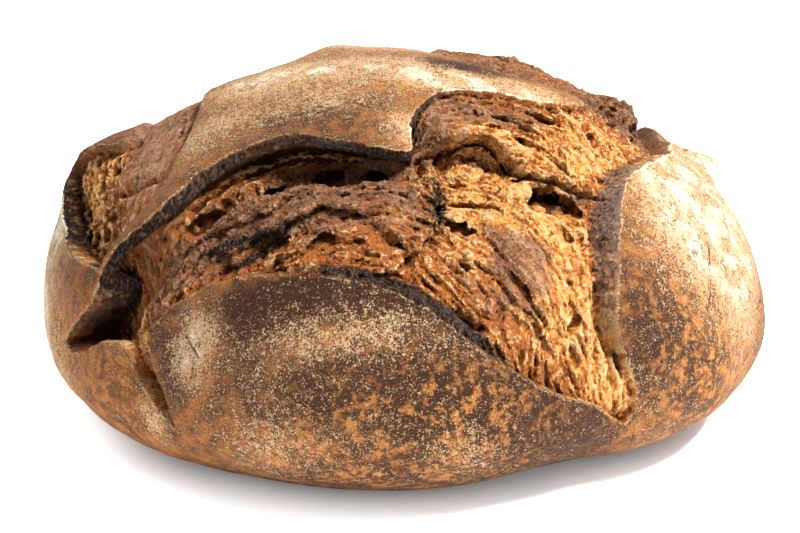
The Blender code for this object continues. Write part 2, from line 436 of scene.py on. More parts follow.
@dataclass(frozen=True)
class Flow:
    """Which way the torn crumb's fibres run, turning smoothly from one named place to the next."""

    places: tuple[tuple[float, float, float], ...] = (
        (-70, -8, 85), (-68, -28, 95), (-66, 8, 70), (-53, -8, 75), (-52, -30, 60), (-56, 20, 80),
        (-64, -46, 70), (-70, -43, 80), (-58, -52, 85), (-57, -62, 110), (-55, -74, 100), (-48, -50, 34),
        (-38, -46, 28), (-38, -56, 28), (-28, -44, 22), (-26, -56, 20), (-14, -48, 12), (-12, -60, 5),
        (-2, -50, -4), (0, -62, -14), (8, -50, -55), (10, -66, -32), (14, -46, -10), (16, -56, -28),
        (20, -66, -38), (24, -50, -20), (27, -60, -42), (33, -52, -40), (34, -68, -46), (40, -60, -62),
        (48, -73, -50), (4, -33, 55), (9, -27, 25), (17, -25, 5), (27, -25, -6), (12, -36, 12), (22, -35, 0),
        (32, -34, -22), (40, -30, -48), (38, -42, -52), (46, -22, -60), (50, -8, 85), (57, 8, 80),
        (44, 4, 20), (36, -16, -25), (0, 28, 4), (-22, 30, 12), (-40, 28, 40), (34, 24, -14), (58, 26, 70),
        (-60, 42, 110), (60, 38, 50),
    )
    reach: float = 6.0

    def over(self, place: np.ndarray) -> tuple[np.ndarray, np.ndarray]:
        """Reads the fibres' direction.

        Args:
            place: (east, north) of each place.

        Returns:
            The east and north parts of the direction at each place.
        """
        twice_east, twice_north = np.zeros(len(place)), np.zeros(len(place))
        for east, north, angle in self.places:
            away = ((place[:, 0] - east) ** 2 + (place[:, 1] - north) ** 2) / self.reach**2
            near = (1 + away) ** -3
            twice_east += near * math.cos(math.radians(2 * angle))
            twice_north += near * math.sin(math.radians(2 * angle))
        turn = np.arctan2(twice_north, twice_east) / 2
        return np.cos(turn), np.sin(turn)


class Comb:
    """Draws noise out along the fibres of the torn crumb."""

    stride: float = 1.5
    strand_share: float = 0.22
    edge_margin: float = 3 * MM

    def __init__(self, chart: Chart, flow: Flow, torn: np.ndarray) -> None:
        """Lays out the fibres' directions.

        Args:
            chart: the chart of the crust.
            flow: which way the fibres run.
            torn: how far inside a torn stretch each place of the chart lies.
        """
        self.count = chart.count
        self.cell = chart.cell
        self.cells = np.flatnonzero(torn > -self.edge_margin)
        self.east = np.ones(len(torn), np.float32)
        self.north = np.zeros(len(torn), np.float32)
        self.east[self.cells], self.north[self.cells] = flow.over(chart.place[self.cells])

    def drawn(self, width: float, length: float, seed: int) -> np.ndarray:
        """Returns noise drawn out along the fibres.

        Args:
            width: about how far apart the strands lie.
            length: how long they are.
            seed: what makes this noise differ from another one.

        Returns:
            One value for each place of the chart, with a spread of 1, and 0 away from the crumb.
        """
        grain = np.random.default_rng(seed).standard_normal((self.count, self.count))
        grain = softened(grain, self.strand_share * width / self.cell).ravel()
        steps = max(2, int(length / (2 * self.stride * self.cell)))
        drawn = grain[self.cells]
        for way in (1, -1):
            row, column = (part.astype(np.float32) for part in np.divmod(self.cells, self.count))
            east, north = way * self.east[self.cells], way * self.north[self.cells]
            for i in range(steps):
                column = np.clip(column + east * self.stride, 0, self.count - 1)
                row = np.clip(row + north * self.stride, 0, self.count - 1)
                at = np.rint(row).astype(np.int64) * self.count + np.rint(column).astype(np.int64)
                drawn = drawn + grain[at] * (0.5 + 0.5 * math.cos(math.pi * (i + 1) / (steps + 1)))
                turned = np.where(east * self.east[at] + north * self.north[at] < 0, -1, 1)
                east, north = turned * self.east[at], turned * self.north[at]
        values = np.zeros(self.count**2)
        values[self.cells] = (drawn - drawn.mean()) / drawn.std()
        return values


@dataclass
class Scoring:
    """Where the cuts opened: the crust panels' edges and the shape of the torn crumb between them."""

    outer_edge: Line = Line((
        (-63, 40), (-60, 28), (-56, 16), (-56, 6), (-59.5, 1), (-64, 8.5), (-69, 11.5), (-72.5, 6.5),
        (-75, -1), (-74, -14), (-70.5, -27), (-65, -37), (-62, -42), (-66, -45), (-72, -43), (-78, -40),
        (-75, -47), (-66, -53), (-60, -59), (-58, -67), (-54, -77), (-53, -70), (-53, -64), (-50, -61),
        (-43, -61), (-34, -62), (-19, -66), (-6, -69), (6, -73), (17, -78), (32, -80), (45, -78), (56, -76),
        (55, -71), (47, -67), (44, -63), (43, -54), (43, -46), (45, -35), (51, -24), (57, -10), (59, 4),
        (57, 18), (56, 28), (64, 44), (52, 40), (40, 40), (22, 43), (2, 44), (-18, 43), (-36, 40), (-50, 42),
        (-62, 52),
    ), closed=True)
    crown_edge: Line = Line((
        (-66, -43), (-57, -42), (-47, -42), (-39, -39), (-31, -37), (-22, -37), (-12, -41), (-4, -44),
        (2, -44), (2, -37), (4, -30), (9, -24), (19, -21), (27, -21), (34, -18), (38, -13), (31, -10),
        (23, -10), (15, -5), (8, 2), (-2, 13), (-14, 20), (-28, 20), (-38, 12), (-41, 0), (-42, -14),
        (-44, -28), (-49, -37),
    ), closed=True)
    ear: Line = Line(((-62, -42), (-51, -43), (-39, -39), (-28, -37), (-15, -40), (-4, -44), (2, -44)))
    floor: tuple[tuple[float, float, float], ...] = (
        (-71, -9, 8.0), (-68, -26, 9.5), (-69, 5, 7.5), (-63, 3, 6.0), (-62, -6, 6.5), (-62, -37, 10.0),
        (-53, -12, 3.0), (-52, 9, 3.0), (-56, -29, 6.0), (-47, -30, 2.5), (-63, -47, 22.0), (-70, -44, 20.0),
        (-57, -49, 18.0), (-73, -42, 20.0), (-57, -57, 4.0), (-57, -66, 6.0), (-55, -73, 4.0),
        (-44, -53, 5.0), (-32, -50, 2.5), (-19, -54, 1.0), (-5, -52, 0.0), (-9, -63, 5.0), (-30, -60, 6.5),
        (-46, -43, 12.0), (-36, -42, 14.0), (-24, -40, 16.0), (-10, -43, 16.0), (0, -44, 12.0),
        (14, -51, 13.0), (12, -58, 11.0), (31, -51, 8.0), (11, -65, 7.0), (16, -70, 5.0), (33, -72, 7.0),
        (46, -74, 4.5), (40, -55, 7.5), (42, -62, 8.0), (52, -71, 2.5), (49, -67, 4.0), (27, -61, 3.0),
        (13, -32, 2.0), (22, -28, 2.5), (34, -27, 3.0), (41, -31, 6.0), (50, -18, 5.0), (45, -4, 1.0),
        (50, 8, 1.5), (56, 4, 9.0), (55.5, -4, 12.0), (54, 13, 10.0), (39, 3, 5.0), (18, 16, 2.5),
        (32, 14, 4.0), (2, 27, 7.0), (-20, 31, 8.0), (-40, 26, 7.0), (-58, 24, 7.0), (40, 30, 8.0),
        (60, 38, 7.0), (-58, 46, 8.0),
    )
    floor_reach: float = 7.5
    ledges: tuple[Ledge, ...] = (
        Ledge(Line(((7, -45), (0, -47), (-10, -46.5), (-20, -44.5), (-28, -45), (-36, -46.5), (-44, -48),
                    (-54, -48))),
              2.0 * MM, 7 * MM, 7 * MM, 6 * MM, 0.7),
        Ledge(Line(((-4, -68), (1, -65.5), (5, -63), (8, -60), (9.5, -55), (9.5, -50), (9, -45), (7, -41))),
              3.5 * MM, 8 * MM, 4.0 * MM, 8 * MM, 0.3),
        Ledge(Line(((3, -44), (10, -40.5), (17, -38.5), (21, -41), (24, -44), (28, -46.5))),
              2.5 * MM, 7 * MM, 9 * MM, 6 * MM, 1.3),
        Ledge(Line(((21, -50), (25, -47), (29, -44.5), (33, -44), (38, -43.5), (42, -41))),
              2.5 * MM, 5 * MM, 8 * MM, 5 * MM, 1.3),
        Ledge(Line(((7, -56), (12, -54.5), (17, -54), (22, -53))),
              1.5 * MM, 4 * MM, 4 * MM, 3 * MM, 0.8),
        Ledge(Line(((-46, -50), (-36, -52), (-30, -53), (-25, -53), (-19, -49))),
              2.0 * MM, 4 * MM, 2.5 * MM, 3.5 * MM),
        Ledge(Line(((-42, -57), (-32, -58), (-27, -58), (-22, -57), (-17, -55), (-10, -56), (-4, -58))),
              1.8 * MM, 4 * MM, 3.5 * MM, 4 * MM),
        Ledge(Line(((6, -32), (11, -30.5), (17, -30), (24, -31), (31, -34), (36, -39))),
              0.9 * MM, 2.5 * MM, 1.2 * MM, 2 * MM),
        Ledge(Line(((14, -34), (20, -34), (27, -36), (33, -39), (38, -43))),
              0.9 * MM, 2.5 * MM, 1.4 * MM, 2 * MM),
        Ledge(Line(((5, -27), (12, -25.5), (20, -25), (28, -26), (36, -29), (41, -34))),
              0.8 * MM, 2.5 * MM, 1.0 * MM, 2 * MM),
        Ledge(Line(((14, -65), (20, -67), (27, -70), (33, -72))),
              0.9 * MM, 3 * MM, 1.6 * MM, 2.5 * MM),
        Ledge(Line(((18, -70), (24, -71), (30, -74), (36, -76))),
              0.9 * MM, 2.5 * MM, 1.6 * MM, 2.5 * MM),
        Ledge(Line(((30, -48), (34, -50), (38, -54), (41, -59))),
              1.0 * MM, 3 * MM, 1.8 * MM, 2.5 * MM),
    )
    rims: tuple[Rim, ...] = (
        Rim(Line(((-24, -64), (-13, -66.5), (-4, -69), (4, -72), (12, -75), (20, -77.5))),
            5.0 * MM, 2.6 * MM, 0.4),
        Rim(Line(((39, -46), (41, -52), (42, -58), (42.5, -63))), -6 * MM, 2.0 * MM),
        Rim(Line(((41, -63), (44, -66), (47, -69))), -4 * MM, 2 * MM),
        Rim(Line(((11, -72.5), (15, -74.5), (18, -75))), -6 * MM, 1.8 * MM),
        Rim(Line(((-2, -62), (1, -64), (2, -66.5))), -4 * MM, 1.5 * MM),
        Rim(Line(((-61, -20), (-58, -24), (-53, -27), (-49, -30))), -2.2 * MM, 1.4 * MM),
        Rim(Line(((-60, -17), (-57, -20.5), (-52, -23))), 1.6 * MM, 2.5 * MM),
    )
    caves: tuple[Cave, ...] = (
        Cave(15.5, -43.5, 15 * MM, 4.0 * MM, -4, 14 * MM, 65, 3.5 * MM),
        Cave(33, -47, 15 * MM, 4.8 * MM, 8, 15 * MM, 58, -0.5 * MM),
        Cave(12.5, -56.5, 9 * MM, 2.6 * MM, 4, 7 * MM), Cave(-43, -45, 12 * MM, 4.5 * MM, 18, 11 * MM),
        Cave(-30, -43, 9 * MM, 3.0 * MM, 12, 10 * MM), Cave(-15, -61.5, 7 * MM, 2.4 * MM, 0, 6 * MM),
        Cave(-3, -62.5, 7 * MM, 2.6 * MM, -14, 6 * MM), Cave(-24, -58.5, 6 * MM, 1.8 * MM, 16, 5 * MM),
        Cave(-36, -60, 5 * MM, 2.0 * MM, 10, 5 * MM), Cave(-38, -49.5, 7 * MM, 1.8 * MM, 22, 5 * MM),
        Cave(-71, -18, 3.5 * MM, 6 * MM, 0, 7 * MM, 0), Cave(-69, -31, 3.2 * MM, 5 * MM, 0, 6 * MM, 0),
        Cave(-68, -4, 2.8 * MM, 4 * MM, 10, 6 * MM, 0), Cave(-64, -22, 2.4 * MM, 5 * MM, 0, 5 * MM, 0),
        Cave(-63.5, -4, 2.6 * MM, 4 * MM, 0, 7 * MM, 0), Cave(-65.5, -12, 3.0 * MM, 4 * MM, 20, 7 * MM, 0),
        Cave(-61, -15, 2.0 * MM, 3.5 * MM, 0, 6 * MM, 0), Cave(-66, -26, 3.0 * MM, 3.5 * MM, 0, 7 * MM, 0),
        Cave(-62, -29, 2.2 * MM, 3.0 * MM, 0, 6 * MM, 0), Cave(-64.5, 5, 2.4 * MM, 3.0 * MM, 0, 6 * MM, 0),
        Cave(-16, -43, 9 * MM, 3.0 * MM, -4, 9 * MM), Cave(-5, -45.5, 7 * MM, 2.6 * MM, -8, 8 * MM),
        Cave(38, -68, 2 * MM, 6 * MM, -30, 5 * MM, 0), Cave(26, -36.5, 7 * MM, 1.6 * MM, -20, 5 * MM),
        Cave(41, -24, 3.2 * MM, 6 * MM, 14, 5 * MM, 0), Cave(46, -8, 3.2 * MM, 6 * MM, 0, 6 * MM, 0),
        Cave(52, -2, 3.2 * MM, 5 * MM, 0, 5 * MM, 0), Cave(21, 12, 10 * MM, 2.4 * MM, -24, 6 * MM),
        Cave(-10, 27, 12 * MM, 3.2 * MM, 6, 7 * MM, 0), Cave(30, 24, 10 * MM, 2.8 * MM, -10, 6 * MM, 0),
        Cave(-36, 30, 8 * MM, 3.2 * MM, 20, 7 * MM, 0), Cave(24, -66, 8 * MM, 1.6 * MM, -34, 5 * MM),
        Cave(34, -53, 6 * MM, 1.5 * MM, -30, 5 * MM), Cave(8, -24.5, 7 * MM, 1.4 * MM, 30, 4 * MM),
        Cave(30, -25, 8 * MM, 1.4 * MM, -6, 4 * MM),
    )
    cave_roughness: float = 0.35
    cracks: tuple[Line, ...] = (
        Line(((60, -60), (65, -57), (71, -52))), Line(((64, -53), (63.5, -45), (62.5, -37), (63.5, -30))),
        Line(((3, -77), (5, -80), (9, -84))), Line(((-4, -95), (-2, -98), (-1, -101))),
        Line(((58, -74), (61, -75.5), (65, -76))), Line(((-9, -30), (-6.5, -31.5), (-4.5, -34))),
        Line(((-21, -36), (-18, -33.5), (-15, -31.5), (-9, -29))), Line(((-44, -66), (-42, -69), (-41, -72))),
        Line(((-12, -73), (-11, -76), (-11.5, -79))), Line(((15, -86), (18, -88), (24, -88))),
        Line(((80, -30), (82, -20), (80, -8))), Line(((-83, 5), (-84, 18), (-80, 30))),
        Line(((-20, 60), (-8, 64), (6, 63))), Line(((30, 75), (40, 70), (48, 72))),
    )
    crack_depth: float = 0.6 * MM
    crack_width: float = 0.50 * MM
    crack_wander: float = 0.45 * MM
    crack_jags: float = 1.6 * MM
    crack_reach: float = 3.0
    crack_ends: float = 2.6
    crack_breaks: tuple[float, float] = (-2.0, -0.6)
    burns: tuple[Rim, ...] = (
        Rim(Line(((-24, -63.5), (-13, -66), (-4, -68.5), (4, -71.5), (12, -74.5), (20, -77.5), (28, -79))),
            1.0, 3.2 * MM),
        Rim(Line(((-44, -53), (-37, -55), (-30, -56), (-24, -55.5))), 1.0, 2.4 * MM),
        Rim(Line(((-38, -58.5), (-31, -59.5), (-25, -58.5), (-20, -55))), 0.9, 2.2 * MM),
        Rim(Line(((-46, -44), (-36, -43), (-28, -41), (-20, -41), (-10, -44), (0, -46))), 0.7, 4.5 * MM),
        # this line and the next two are partly painted shade: the ridge's shadowed end and the lips of the
        # big caves
        Rim(Line(((8.5, -42), (9, -47), (9, -52), (8, -58), (5, -62))), 0.6, 4.5 * MM),
        Rim(Line(((3, -44), (10, -40), (17, -38), (21, -40), (24, -43))), 0.6, 1.6 * MM),
        Rim(Line(((21, -50), (25, -46), (29, -44), (33, -43.5), (38, -43))), 0.6, 1.6 * MM),
        Rim(Line(((3, -40), (3, -34), (6, -27), (12, -23), (20, -22), (30, -22), (38, -14))), 0.8, 1.8 * MM),
        Rim(Line(((-72, 4), (-73, -8), (-71, -22), (-66, -34))), 0.8, 1.4 * MM),
    )
    burn_starts: tuple[float, float] = (0.2 * MM, 0.8 * MM)
    lumps: tuple[Spot, ...] = (
        Spot(48, 1, 5.5 * MM, 5.5), Spot(27, 17, 3.0 * MM, 11), Spot(-67, 9, 9.5 * MM, 8),
        Spot(-30, 12, -4.5 * MM, 9), Spot(-16, 8, 1.5 * MM, 6), Spot(57, -2, -4.5 * MM, 4.5),
        Spot(66, 3, 8.0 * MM, 5), Spot(73, 1, -9.0 * MM, 5), Spot(81, 8, -7.5 * MM, 13),
        Spot(62, 9, -4.0 * MM, 6), Spot(58, -98, -7.0 * MM, 26), Spot(-98, -28, -3.2 * MM, 26),
        Spot(-78, -8, -2.0 * MM, 7), Spot(-20, -84, 1.5 * MM, 22), Spot(15, 62, 2.5 * MM, 24),
        Spot(-50, 66, 2.0 * MM, 20),
    )
    skins: tuple[Spot, ...] = (
        Spot(-53, -10, 1.0, 8, 20), Spot(-50, -30, 0.95, 7, 8), Spot(-52, 10, 0.8, 8, 10),
        Spot(-62, -44, 1.0, 9, 4), Spot(-70, -8, 0.55, 5, 22), Spot(27, -62, 0.8, 8, 5, -40),
        Spot(14, -30, 0.6, 10, 5), Spot(7, -36, 0.5, 4, 6), Spot(-42, 8, 0.6, 7, 14),
        Spot(-57, -64, 0.4, 4, 6),
    )
    porous: tuple[Spot, ...] = (
        Spot(-70, -8, 1.6, 6, 22), Spot(-38, -44, 1.0, 16, 3.5, 6), Spot(-20, -43, 0.6, 12, 2.5),
        Spot(-15, -61, 0.8, 22, 3.5, -4), Spot(42, -22, 1.0, 8, 12, 20), Spot(48, -2, 0.9, 9, 12),
        Spot(-55, -60, 0.9, 6, 9), Spot(28, -33, 0.3, 12, 6), Spot(12, -64, 0.35, 9, 5, -30),
        Spot(36, -60, 0.25, 8, 12), Spot(0, 28, 0.6, 50, 9), Spot(55, 22, 0.6, 8, 16),
        Spot(-58, 36, 0.5, 8, 14), Spot(-34, -53, 0.4, 12, 4, 12),
    )
    holes_need: float = 0.3
    webs_everywhere: float = 0.12
    strands: tuple[tuple[float, float, float], ...] = (
        (5.0 * MM, 18 * MM, 0.45 * MM), (2.6 * MM, 12 * MM, 0.60 * MM), (1.4 * MM, 12 * MM, 0.50 * MM),
    )
    raggedness: float = 0.9 * MM
    ledge_jags: float = 1.2 * MM
    edge_wander: float = 0.25 * MM
    edge_jags: float = 1.0 * MM
    strand_seed: int = 31
    strand_fall: float = 1.25
    skin_smoothness: float = 0.8
    ear_rise: float = 2.4 * MM
    ear_reach: float = 8.0 * MM
    ear_undercut: float = 1.5
    ear_undercut_reach: float = 16.0 * MM
    edge_undercut: float = 0.3
    undercut_starts: float = 4.5 * MM
    splayed_wall: Line = Line(((46, -66), (44.5, -61), (43, -55), (43, -46), (45, -35), (50, -25), (55, -14)))
    cut_face: float = 1.5 * MM
    splayed_face: float = 6.0 * MM
    splay_reach: float = 14.0 * MM
    panel_swell: float = 1.4 * MM
    panel_swell_reach: float = 16.0 * MM
    panel_swell_ends: tuple[float, float] = (125, 90)
    surroundings: float = 6.0 * MM
    lean_reach: float = 7.0 * MM
    usual_floor: float = 6.0

    def draw(self, chart: Chart) -> None:
        """Works out the layers that shape the loaf.

        Args:
            chart: the chart that they are added to.
        """
        place = chart.place
        away = np.hypot(place[:, 0], place[:, 1])
        from_outer = self.outer_edge.nearest(chart).gap * np.where(self.outer_edge.inside(place), 1, -1)
        from_crown = self.crown_edge.nearest(chart).gap * np.where(self.crown_edge.inside(place), -1, 1)
        torn = np.minimum(from_outer, from_crown)
        torn = torn + self.edge_wander * self.jagged(chart, self.edge_jags)
        ear = self.ear.nearest(chart)
        splay = self.splayed_wall.nearest(chart).near(self.splay_reach)
        crust = self.panel_swell * smooth_step(0, self.panel_swell_reach, -torn)
        crust = crust * smooth_step(*self.panel_swell_ends, away)
        crack = self.crack_share(chart)
        crust = crust + self.ear_rise * ear.near(self.ear_reach) - self.crack_depth * crack
        crumb = self.ledge_height(chart) - self.floor_depth(place) + self.strand_height(chart, torn)
        chart.add("torn", torn)
        chart.add("lumps", total(self.lumps, place))
        chart.add("crust", crust)
        chart.add("crack", crack)
        chart.add("crumb", crumb)
        undercut = self.edge_undercut * (1 - splay) + self.ear_undercut * ear.near(self.ear_undercut_reach)
        chart.add("undercut", undercut)
        chart.add("face", self.cut_face * (1 - splay) + self.splayed_face * splay)
        # burnt lines, partly painted shade along the caves' lips and the ridge's end
        burn = sum(line.height * line.line.nearest(chart).near(line.reach) for line in self.burns)
        chart.add("burn", np.clip(burn, 0, 1) * smooth_step(*self.burn_starts, torn))
        porous = total(self.porous, place)
        chart.add("porous", np.clip(porous - self.holes_need, 0, 2))
        chart.add("web", np.clip(self.webs_everywhere + porous, 0, 1.2))
        height = np.where(torn > 0, crumb, crust).reshape(chart.count, chart.count)
        chart.add("around", softened(height, self.surroundings / chart.cell).ravel())
        self.draw_lean(chart)

    def crack_share(self, chart: Chart) -> np.ndarray:
        """Draws the crust's cracks, which wander about their lines.

        Args:
            chart: the chart of the crust.

        Returns:
            1 in the cracks and 0 off them, for each place.
        """
        share = np.zeros(len(chart.place))
        wander = self.jagged(chart, self.crack_jags)
        for line in self.cracks:
            near = line.nearest(chart, self.crack_reach)
            off = near.gap * near.side + self.crack_wander * wander
            close = near.gap < self.crack_ends * METRES_PER_DEGREE
            share += np.exp(-((off / self.crack_width) ** 2)) * near.taper() * close
        return share * smooth_step(*self.crack_breaks, wander)

    def jagged(self, chart: Chart, size: float) -> np.ndarray:
        """Draws seeded noise over the chart.

        Args:
            chart: the chart of the crust.
            size: how wide its bumps are, about.

        Returns:
            One value for each place, with a spread of 1.
        """
        values = np.random.default_rng(self.strand_seed).standard_normal((chart.count, chart.count))
        values = softened(values, size / chart.cell).ravel()
        return values / values.std()

    def strand_height(self, chart: Chart, torn: np.ndarray) -> np.ndarray:
        """Draws the torn crumb's fibres, and adds their layers to the chart.

        Args:
            chart: the chart that they are added to.
            torn: how far inside a torn stretch each place lies.

        Returns:
            The fibres' height at each place.
        """
        comb = Comb(chart, Flow(), torn)
        skin = np.clip(total(self.skins, chart.place), 0, 1)
        height = np.zeros(len(torn))
        for i, (width, length, rise) in enumerate(self.strands):
            ridges = 1.0 - self.strand_fall * np.abs(comb.drawn(width, length, self.strand_seed + i))
            height += rise * ridges
            if i:
                chart.add(("strand", "thread")[i - 1], ridges)
        chart.add("skin", skin)
        chart.add("flow_east", comb.east)
        chart.add("flow_north", comb.north)
        return height * (1 - self.skin_smoothness * skin)

    def floor_depth(self, place: np.ndarray) -> np.ndarray:
        """Blends the depth of the torn crumb between the named places.

        Args:
            place: (east, north) of each place.

        Returns:
            How far each place lies below the plain body.
        """
        weight = np.full(len(place), TINY)
        depth = weight * self.usual_floor
        for east, north, below in self.floor:
            near = np.exp(-((place[:, 0] - east) ** 2 + (place[:, 1] - north) ** 2) / self.floor_reach**2)
            weight += near
            depth += near * below
        return depth / weight * MM

    def ledge_height(self, chart: Chart) -> np.ndarray:
        """Adds up the ledges and rims.

        Args:
            chart: the chart of the crust.

        Returns:
            The height that they add to the torn crumb at each place.
        """
        height = np.zeros(len(chart.place))
        jagged = self.jagged(chart, self.ledge_jags)
        for ledge in self.ledges:
            near = ledge.line.nearest(chart)
            over = near.gap * near.side + self.raggedness * jagged
            lip = ledge.lip * np.exp(-np.abs(over) / ledge.lip_reach)
            gully = -ledge.gully * np.exp(-((over / ledge.gully_reach) ** 2))
            height += near.taper() * np.where(over > 0, lip, gully)
        for rim in self.rims:
            height += rim.height * rim.line.nearest(chart).near(rim.reach) * (1 + rim.jag * jagged)
        return height

    def draw_lean(self, chart: Chart) -> None:
        """Adds how far the ledges lean out over their gullies, in degrees for each metre of depth.

        Args:
            chart: the chart that it is added to.
        """
        east, north = np.zeros(len(chart.place)), np.zeros(len(chart.place))
        for ledge in self.ledges:
            near = ledge.line.nearest(chart)
            lean = near.near(self.lean_reach) * ledge.overhang / METRES_PER_DEGREE
            east += lean * near.east
            north += lean * near.north
        chart.add("lean_east", east)
        chart.add("lean_north", north)


@dataclass
class Baking:
    """What the oven did to the surface: the crust's bumps, and the crumb's crags, webs and open holes."""

    crust_bumps: Sizes = ((26 * MM, 0.9 * MM), (11 * MM, 0.35 * MM), (5 * MM, 0.14 * MM))
    crumb_crags: Sizes = ((15 * MM, 1.5 * MM), (7 * MM, 0.8 * MM), (1.8 * MM, 0.25 * MM))
    crumb_webs: Sizes = ((3.8 * MM, 0.65 * MM), (2.1 * MM, 0.45 * MM))
    web_level: float = 0.6
    web_fall: float = 2.4
    hole_count: int = 320
    hole_size: tuple[float, float] = (0.6 * MM, 1.8 * MM)
    hole_stretch: float = 1.8
    crumbling: float = 0.20 * MM
    seed: int = 7

    def bumps(self, points: np.ndarray, sizes: Sizes, seed: int) -> np.ndarray:
        """Returns the sum of noise of several sizes, each (size, height)."""
        return sum(height * BakedNoise(self.seed + seed + i).at(points, size)
                   for i, (size, height) in enumerate(sizes))

    def webs(self, points: np.ndarray) -> np.ndarray:
        """Raises the thin walls that stay standing between the crumb's burst bubbles.

        Args:
            points: points from the belly's centre.

        Returns:
            The walls' height at each point.
        """
        height = np.zeros(len(points), np.float32)
        for i, (size, rise) in enumerate(self.crumb_webs):
            bubbles = np.abs(BakedNoise(self.seed + 20 + i).at(points, size))
            height += rise * (self.web_level - self.web_fall * bubbles)
        return height


@dataclass
class LoafField:
    """How far each point of space lies outside the baked surface."""

    body: DoughBody
    scoring: Scoring
    baking: Baking
    chart: Chart = field(init=False)
    roughened: float = 7 * MM
    deepest_lean: float = 14 * MM
    smooth_base: tuple[float, float] = (125, 95)
    skin_smoothness: float = 0.7
    seam: float = 0.01

    def __post_init__(self) -> None:
        """Draws the chart of the crust."""
        self.chart = Chart()
        self.scoring.draw(self.chart)

    def read(self, points: np.ndarray) -> tuple[np.ndarray, np.ndarray]:
        """Reads the field without the crumb's holes.

        Args:
            points: points from the belly's centre.

        Returns:
            How far each lies outside the surface, and how far inside a torn stretch, both in metres.
        """
        over = self.body.over(points)
        place = self.body.place(points)
        depth = np.maximum(-over, 0)
        lean_east, lean_north, undercut = self.chart.read(place, "lean_east", "lean_north", "undercut")
        lean = np.stack([lean_east, lean_north], axis=1)
        leaned = place + lean * np.minimum(depth, self.deepest_lean)[:, None]
        lumps, crust, torn, width = self.chart.read(place, "lumps", "crust", "torn", "face")
        crumb, skin, web = self.chart.read(leaned, "crumb", "skin", "web")
        torn = torn + undercut * np.maximum(depth - self.scoring.undercut_starts, 0)
        face = smooth_step(0, 1, torn / width)
        outside = over - lumps - crust * (1 - face) - crumb * face
        rough = np.flatnonzero((np.abs(outside) < self.roughened) & (face > self.seam))
        crags = self.baking.bumps(points[rough], self.baking.crumb_crags, 10)
        crags += self.baking.webs(points[rough]) * web[rough]
        outside[rough] -= crags * face[rough] * (1 - self.skin_smoothness * skin[rough])
        smooth = np.flatnonzero((np.abs(outside) < self.roughened) & (face < 1 - self.seam))
        away = np.hypot(place[smooth, 0], place[smooth, 1])
        bumps = self.baking.bumps(points[smooth], self.baking.crust_bumps, 0)
        outside[smooth] -= bumps * smooth_step(*self.smooth_base, away) * (1 - face[smooth])
        return outside, torn


@dataclass
class Grid:
    """A block of space cut into small cubes, round the belly's centre."""

    step: float
    low: np.ndarray
    high: np.ndarray
    shape: tuple[int, int, int] = field(init=False)

    def __post_init__(self) -> None:
        """Counts the corners of the cubes."""
        self.shape = tuple(int(n) for n in np.ceil((self.high - self.low) / self.step) + 1)

    def points(self, index: np.ndarray) -> np.ndarray:
        """Returns the point of each flat index."""
        corner = np.stack(np.unravel_index(index, self.shape), axis=1)
        return (self.low + corner * self.step).astype(np.float32)


def net(values: np.ndarray, grid: Grid) -> tuple[np.ndarray, np.ndarray]:
    """Draws a net of four-sided faces over the place where the values are zero.

    Args:
        values: the field at each corner of the grid, below 0 inside.
        grid: the grid.

    Returns:
        The net's points, and the four points of each face, facing out.
    """
    inside = values < 0
    rings, crossings = [], []
    for axis in range(3):
        low, high, unit = [slice(None)] * 3, [slice(None)] * 3, np.zeros(3, int)
        low[axis], high[axis], unit[axis] = slice(0, -1), slice(1, None), 1
        edge = np.argwhere(inside[tuple(low)] != inside[tuple(high)])
        start = values[tuple(edge.T)]
        end = values[tuple((edge + unit).T)]
        crossing = edge.astype(np.float64)
        crossing[:, axis] += start / (start - end)
        ring = []
        for step_b, step_c in ((0, 0), (-1, 0), (-1, -1), (0, -1)):
            cube = edge.copy()
            cube[:, (axis + 1) % 3] += step_b
            cube[:, (axis + 2) % 3] += step_c
            ring.append(np.ravel_multi_index(tuple(cube.T), values.shape))
        ring = np.stack(ring, axis=1)
        ring[start > 0] = ring[start > 0][:, ::-1]
        rings.append(ring)
        crossings.append(np.repeat(crossing, 4, axis=0))
    rings = np.concatenate(rings)
    crossings = np.concatenate(crossings)
    _, faces, shared = np.unique(rings.ravel(), return_inverse=True, return_counts=True)
    faces = faces.reshape(-1)
    points = np.stack([np.bincount(faces, crossings[:, k]) / shared for k in range(3)], axis=1)
    return grid.low + points * grid.step, faces.reshape(-1, 4)


def largest_part(points: np.ndarray, faces: np.ndarray) -> tuple[np.ndarray, np.ndarray]:
    """Drops what isn't joined to the largest part of a mesh.

    Args:
        points: the mesh's points.
        faces: the points of each face.

    Returns:
        The points and faces that are kept.
    """
    group = np.arange(len(points))
    while True:
        least = group[faces].min(axis=1)
        new = group.copy()
        for side in range(faces.shape[1]):
            np.minimum.at(new, faces[:, side], least)
        new = new[new]
        if (new == group).all():
            break
        group = new
    names, counts = np.unique(group, return_counts=True)
    kept = group == names[counts.argmax()]
    renumbered = np.cumsum(kept) - 1
    return points[kept], renumbered[faces[kept[faces[:, 0]]]]


